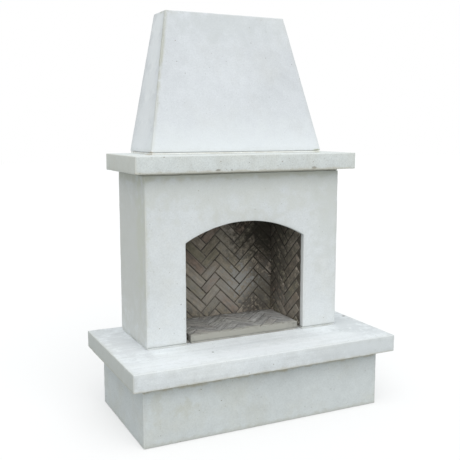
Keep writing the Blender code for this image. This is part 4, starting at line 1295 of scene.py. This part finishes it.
@dataclass
class Mantel(Castings):
    """The mantel slab with its flue hole, on its mortar."""

    clearance: float = 0.012  # round the flue's duct
    flange: float = 0.012  # how far the flue's flanges stand out from its duct
    pit: Colour = (0.16, 0.14, 0.11)  # broken-out spots

    def build(self) -> Pieces:
        """Build the slab and finish its mortar.

        Returns:
            The pieces, one by one.
        """
        low, high = box_of("mantel_slab")
        flue_low, flue_high = box_of("flue_liner")
        gap = self.clearance - self.flange
        hole = Solid.block((flue_low.x - gap, flue_low.y - gap, low.z - OVERRUN),
                           (flue_high.x + gap, flue_high.y + gap, high.z + OVERRUN))
        marks = (
            Mark((-0.216, low.y, 1.406), (0.018, 0.02, 0.008), self.pit, 0.70, 1.9),
            Mark((-0.132, low.y, 1.405), (0.016, 0.02, 0.008), self.pit, 0.70, 1.9),
            Mark((-0.170, low.y, 1.410), (0.080, 0.02, 0.022), (0.33, 0.28, 0.20), 0.80, specks=90.0),
            Mark((0.245, low.y, 1.441), (0.045, 0.02, 0.030), (0.26, 0.25, 0.22), 0.80, specks=85.0),
            Mark((0.392, low.y, 1.405), (0.020, 0.02, 0.008), self.pit, 0.66, 1.9),
            Mark((0.501, low.y, 1.430), (0.060, 0.02, 0.030), (0.28, 0.26, 0.21), 0.75, specks=80.0),
            Mark((0.28, low.y, high.z - 0.026), (0.50, 0.03, 0.030), (0.36, 0.35, 0.30), 0.65, 1.4, specks=85.0),
            Mark((-0.35, low.y, 1.440), (0.35, 0.03, 0.045), (0.46, 0.44, 0.38), 0.45, 1.6, specks=75.0),
            # Painted shade over the mantel's whole left face.
            Mark((low.x, 0.10, 1.440), (0.012, 0.9, 0.20), (0.590, 0.592, 0.535), 0.55, 0.8),
            Mark((0.0, low.y, low.z), (2.0, 0.04, 0.016), (0.52, 0.47, 0.35), 0.50, 1.0),
            Mark((-0.550, 0.0, high.z), (0.035, 0.05, 0.02), (0.46, 0.33, 0.17), 0.55),
            Mark((0.510, 0.0, high.z), (0.045, 0.05, 0.02), (0.30, 0.32, 0.17), 0.75, 0.9),
        )
        finish = CastConcrete("mantel_concrete", 21.0, marks, cool=(0.672, 0.705, 0.700), warm=(0.610, 0.620, 0.575),
                              cloud=0.18, mottle=0.24, grain=0.55, pits=0.20, specks=0.16, age=0.45)
        yield self.cast(Solid.block(low, high).cut(hole), "mantel_casting", "mantel_slab", finish,
                        Weathering(seed=7.3, chips=0.34, chip=0.004))
        yield from self.bed("mantel", 22.0, (0.62, 0.60, 0.53), (0.48, 0.46, 0.38))


@dataclass
class SparkArrestor(Assembly):
    """The arrestor's mesh: crimped strips woven under and over, in a flat rim."""

    pitch: float = 0.022  # about how far apart the strips lie
    strip: float = 0.004  # width of a strip
    lip: float = 0.006  # width of the rim
    arris: float = 0.0004  # width of the rim's eased edges
    seam: float = 0.00004  # clearance where two strips cross
    bends: int = 4  # steps of a strip from one crossing to the next
    flatten: float = 0.96  # share of the mesh's thickness that the weave fills

    def weave(self, axis: int, low: Vector, high: Vector) -> list[Solid]:
        """The strips that run along one axis.

        Args:
            axis: 0 for X and 1 for Y.
            low: Lowest corner of the clear mesh.
            high: Highest corner of it.

        Returns:
            The strips.
        """
        across = 1 - axis
        bays = [max(1, round((high[i] - low[i]) / self.pitch)) for i in range(2)]
        level, half = (low.z + high.z) / 2, (high.z - low.z) / 4
        strips = []
        for line in range(1, bays[across]):
            place = low[across] + (high[across] - low[across]) * line / bays[across]
            rings = []
            for step in range(bays[axis] * self.bends + 1):
                lift = (half + self.seam) * math.cos(math.pi * step / self.bends) * (-1) ** (line + axis)
                along = low[axis] + (high[axis] - low[axis]) * step / (bays[axis] * self.bends)
                ring = []
                for side, rise in ((-1, -1), (1, -1), (1, 1), (-1, 1)):
                    corner = [0.0, 0.0, level + lift * self.flatten + rise * (half - self.seam * 2) * self.flatten]
                    corner[axis], corner[across] = along, place + side * self.strip / 2
                    ring.append(corner)
                rings.append(ring)
            strips.append(Solid.loft(rings))
        return strips

    def build(self) -> Pieces:
        """Weave the mesh and set it in its rim.

        Returns:
            The one piece.
        """
        low, high = box_of("spark_arrestor_mesh")
        lip, deep = Vector((self.lip, self.lip, 0.0)), Vector((0.0, 0.0, OVERRUN))
        clear = (low + lip, high - lip)
        rim = Solid.block(low, high).cut(Solid.block(clear[0] - deep, clear[1] + deep)).ease(self.arris, 1)
        mesh = Solid.joined([rim, *self.weave(0, *clear), *self.weave(1, *clear)])
        finish = Sheet("arrestor_steel", 26.0, gloss=0.30, tinting=0.6, tint=(0.16, 0.12, 0.09))
        yield self.show(mesh.piece("arrestor_weave", 30.0), finish, Slot.STAINLESS, "spark_arrestor_mesh")


@dataclass
class Screw(Assembly):
    """A pan-head screw with a cross recess, where a packed one stands."""

    node: str
    head_radius: float = 0.0085
    head_height: float = 0.0045
    brim: float = 0.28  # share of the head's height at which its dome begins
    shank: float = 0.004  # radius of the shank
    point: float = 0.005  # length of the point
    recess: Point = (0.0092, 0.0016, 0.0022)  # length, width and depth of each arm of the cross
    steps: int = 24  # facets round it

    def stand(self) -> tuple[Matrix, float]:
        """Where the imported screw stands.

        Returns:
            Its place, with +Z out of its head, and its length under the head.
        """
        spots = places_of(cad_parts[self.node].data.vertices)
        middle = spots.mean(0)
        axis = np.linalg.svd(spots - middle)[2][0]
        along = (spots - middle) @ axis
        away = np.linalg.norm(spots - middle - along[:, None] * axis, axis=1)
        facing = 1 if along[away > (self.head_radius + self.shank) / 2].mean() > 0 else -1
        axis, along = axis * facing, along * facing
        under = along.max() - self.head_height
        turn = Vector(axis).to_track_quat("Z", "Y").to_matrix().to_4x4()
        return Matrix.Translation(middle + axis * under) @ turn, float(under - along.min())

    def build(self) -> Pieces:
        """Turn the screw, cut its cross and drive it home.

        Returns:
            The one piece.
        """
        place, length = self.stand()
        radius, height = self.head_radius, self.head_height
        dome = [(radius * math.cos(turn), height * (self.brim + (1 - self.brim) * math.sin(turn)))
                for turn in (math.radians(15.0 * i) for i in range(6))]
        point = [(self.shank * 0.12, -length), (self.shank * 0.7, -length + self.point * 0.6),
                 (self.shank, -length + self.point), (self.shank, 0.0)]
        screw = Solid.turned([*point, (radius, 0.0), *dome, (radius * 0.1, height)], self.steps)
        long, wide, deep = self.recess
        arms = [Solid.block((-x / 2, -y / 2, height - deep), (x / 2, y / 2, height + OVERRUN))
                for x, y in ((long, wide), (wide, long))]
        screw.cut(*arms).mesh.transform(place)
        finish = Sheet("screw_zinc", 28.0, colour=(0.66, 0.65, 0.62), gloss=0.26, tinting=0.35)
        yield self.show(screw.piece(self.node + "_crossed", 32.0), finish, Slot.SCREW, self.node)


@dataclass
class Chimney(Castings):
    """The tapered shell, its back upright, with the fittings in its mouth."""

    foot: tuple[float, float] = (1.076, 0.377)  # width and depth at its foot
    top: tuple[float, float] = (0.756, 0.187)  # width and depth at its top
    wall: float = 0.038

    def ring(self, share: float, inset: float = 0.0) -> list[Point]:
        """The shell's section.

        Args:
            share: Its height, as a share of the shell's.
            inset: How far it lies inside the outer face.

        Returns:
            Four corners, the first of them at the left front.
        """
        low, high = box_of("chimney_shell")
        half = (self.foot[0] + (self.top[0] - self.foot[0]) * share) / 2 - inset
        front = high.y - self.foot[1] - (self.top[1] - self.foot[1]) * share + inset
        level, rear = low.z + (high.z - low.z) * share, high.y - inset
        return [(-half, front, level), (half, front, level), (half, rear, level), (-half, rear, level)]

    def build(self) -> Pieces:
        """Build the shell, finish its mortar and the fittings in its mouth.

        Returns:
            The pieces, one by one.
        """
        low, high = box_of("chimney_shell")
        past = OVERRUN / (high.z - low.z)
        hollow = Solid.loft([self.ring(share, self.wall) for share in (-past, 1 + past)])
        shell = Solid.loft([self.ring(share) for share in (0.0, 1.0)]).cut(hollow)
        front = high.y - self.foot[1]
        # Cleaner concrete and painted light along the left front arris and over the left face, stronger towards the
        # top.
        bleached_and_lit = []
        for share in (0.1, 0.3, 0.5, 0.7, 0.9):
            x, y, z = self.ring(share)[0]
            bleached_and_lit.append(Mark((x, (high.y + y) / 2, z), (0.044, (high.y - y) * 0.7, 0.20), (0.860, 0.885, 0.900),
                                 0.52 + 0.30 * share, 0.5))
        marks = (
            *bleached_and_lit,
            Mark((-0.400, front + 0.150, 2.06), (0.10, 0.20, 0.42), (0.370, 0.375, 0.280), 0.64, 1.5, 0.022),
            Mark((-0.470, front + 0.060, 1.72), (0.10, 0.20, 0.40), (0.440, 0.445, 0.370), 0.48, 1.5, 0.020),
            Mark((-0.410, front + 0.140, 2.00), (0.12, 0.24, 0.50), (0.300, 0.290, 0.200), 0.70, 1.2, 0.045, 80.0),
            Mark((0.0, front + 0.16, 2.22), (0.50, 0.2, 0.14), (0.585, 0.615, 0.620), 0.40, 1.0),
            Mark((0.0, front, low.z), (1.6, 0.2, 0.26), (0.765, 0.800, 0.815), 0.48, 0.9),
            Mark((-0.545, front, low.z), (0.030, 0.05, 0.010), (0.42, 0.27, 0.10), 0.7, 0.9),
            Mark((0.510, front, low.z), (0.040, 0.05, 0.012), (0.30, 0.32, 0.17), 0.75, 0.9),
        )
        finish = CastConcrete("chimney_concrete", 23.0, marks, cool=(0.652, 0.676, 0.702), warm=(0.610, 0.622, 0.606),
                              cloud=0.26, mottle=0.18, pits=0.08, specks=0.02, age=0.30)
        yield self.cast(shell, "chimney_casting", "chimney_shell", finish, Weathering(seed=9.9))
        # The bed's near-white mortar is partly its own colour and partly painted light that offsets the shade of its
        # recessed joint.
        yield from self.bed("chimney", 24.0, (0.86, 0.87, 0.85), (0.74, 0.73, 0.68))
        steel = Sheet("mouth_steel", 25.0, gloss=0.34, drawn=(0.05, 1.0, 1.0), tinting=0.25)
        yield from self.keep(steel, "flue_head_plate", "spark_arrestor_frame", "mouth_angle_left", "mouth_angle_right")
        yield from SparkArrestor().build()


@dataclass
class Fixings(Assembly):
    """The angles behind the castings and every screw."""

    def build(self) -> Pieces:
        """Finish the angles and the screws.

        Returns:
            The pieces, one by one.
        """
        angles = [f"{part}_rear_angle_{side.word}" for part in ("base", "body") for side in Side]
        yield from self.keep(Sheet("angle_zinc", 27.0, spangle=150.0, gloss=0.40, tinting=0.2), *angles)
        for node in sorted(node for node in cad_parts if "_screw" in node):
            yield from Screw(node).build()


@dataclass
class Studio:
    """The floor, the light and the camera."""

    reach: float = 30.0  # half the floor's length
    eye: Point = (-1.8198, -3.6451, 1.6277)
    yaw: float = 25.7386  # degrees to the right of +Y
    pitch: float = 8.1314  # degrees down
    lens: float = 55.526  # millimetres
    film: float = 36.0  # millimetres wide
    sky: float = 0.72  # strength of the light from all round
    sun: float = 1.85  # strength of the soft lamp above and in front
    softness: float = 70.0  # that lamp's angle, in degrees
    towards: Point = (-0.22, -0.88, 1.25)  # where it stands from the fireplace

    def floor(self) -> None:
        """A pale floor that keeps the fireplace's shadow."""
        half = self.reach
        mesh = bpy.data.meshes.new("floor")
        mesh.from_pydata([(-half, -half, 0.0), (half, -half, 0.0), (half, half, 0.0), (-half, half, 0.0)], [],
                         [(0, 1, 2, 3)])
        mesh.materials.append(PaleFloor("pale_floor").material())
        add("floor", mesh)

    def light(self) -> None:
        """A pale sky all round and one soft lamp."""
        world = bpy.data.worlds.new("pale_sky")
        world.use_nodes = True
        graph = Graph(world.node_tree)
        lighting = graph.surface("ShaderNodeBackground", {"Color": (0.95, 0.985, 1.0), "Strength": self.sky})
        seen = graph.surface("ShaderNodeBackground", {"Color": (1.0, 1.0, 1.0), "Strength": 1.0})
        graph.node("ShaderNodeOutputWorld", None, {"Surface": graph.by_ray(lighting, seen)})
        bpy.context.scene.world = world
        lamp = bpy.data.lights.new("soft_sun", "SUN")
        lamp.energy, lamp.angle, lamp.color = self.sun, math.radians(self.softness), (1.0, 0.995, 0.985)
        add("soft_sun", lamp).rotation_euler = Vector(self.towards).to_track_quat("Z", "Y").to_euler()

    def build(self) -> None:
        """Set up the floor, the light, the camera and the view."""
        self.floor()
        self.light()
        camera = bpy.data.cameras.new("camera")
        camera.lens, camera.sensor_width = self.lens, self.film
        held = add("camera", camera)
        held.location = self.eye
        held.rotation_euler = (math.radians(90 - self.pitch), 0.0, math.radians(-self.yaw))
        bpy.context.scene.camera = held
        bpy.context.scene.view_settings.view_transform = "Standard"


def main() -> None:
    """Build the fireplace from the ground up, then its surroundings."""
    logging.basicConfig(level=logging.INFO, format="%(name)s: %(message)s")
    for part in (Hearth(), Body(), Firebox(), SmokePath(), Mantel(), Chimney(), Fixings()):
        for piece in part.build():
            LOG.info("%s: %d faces in %s", piece.name, len(piece.data.polygons), piece.material_slots[0].material.name)
    Studio().build()


if __name__ == "__main__":
    main()
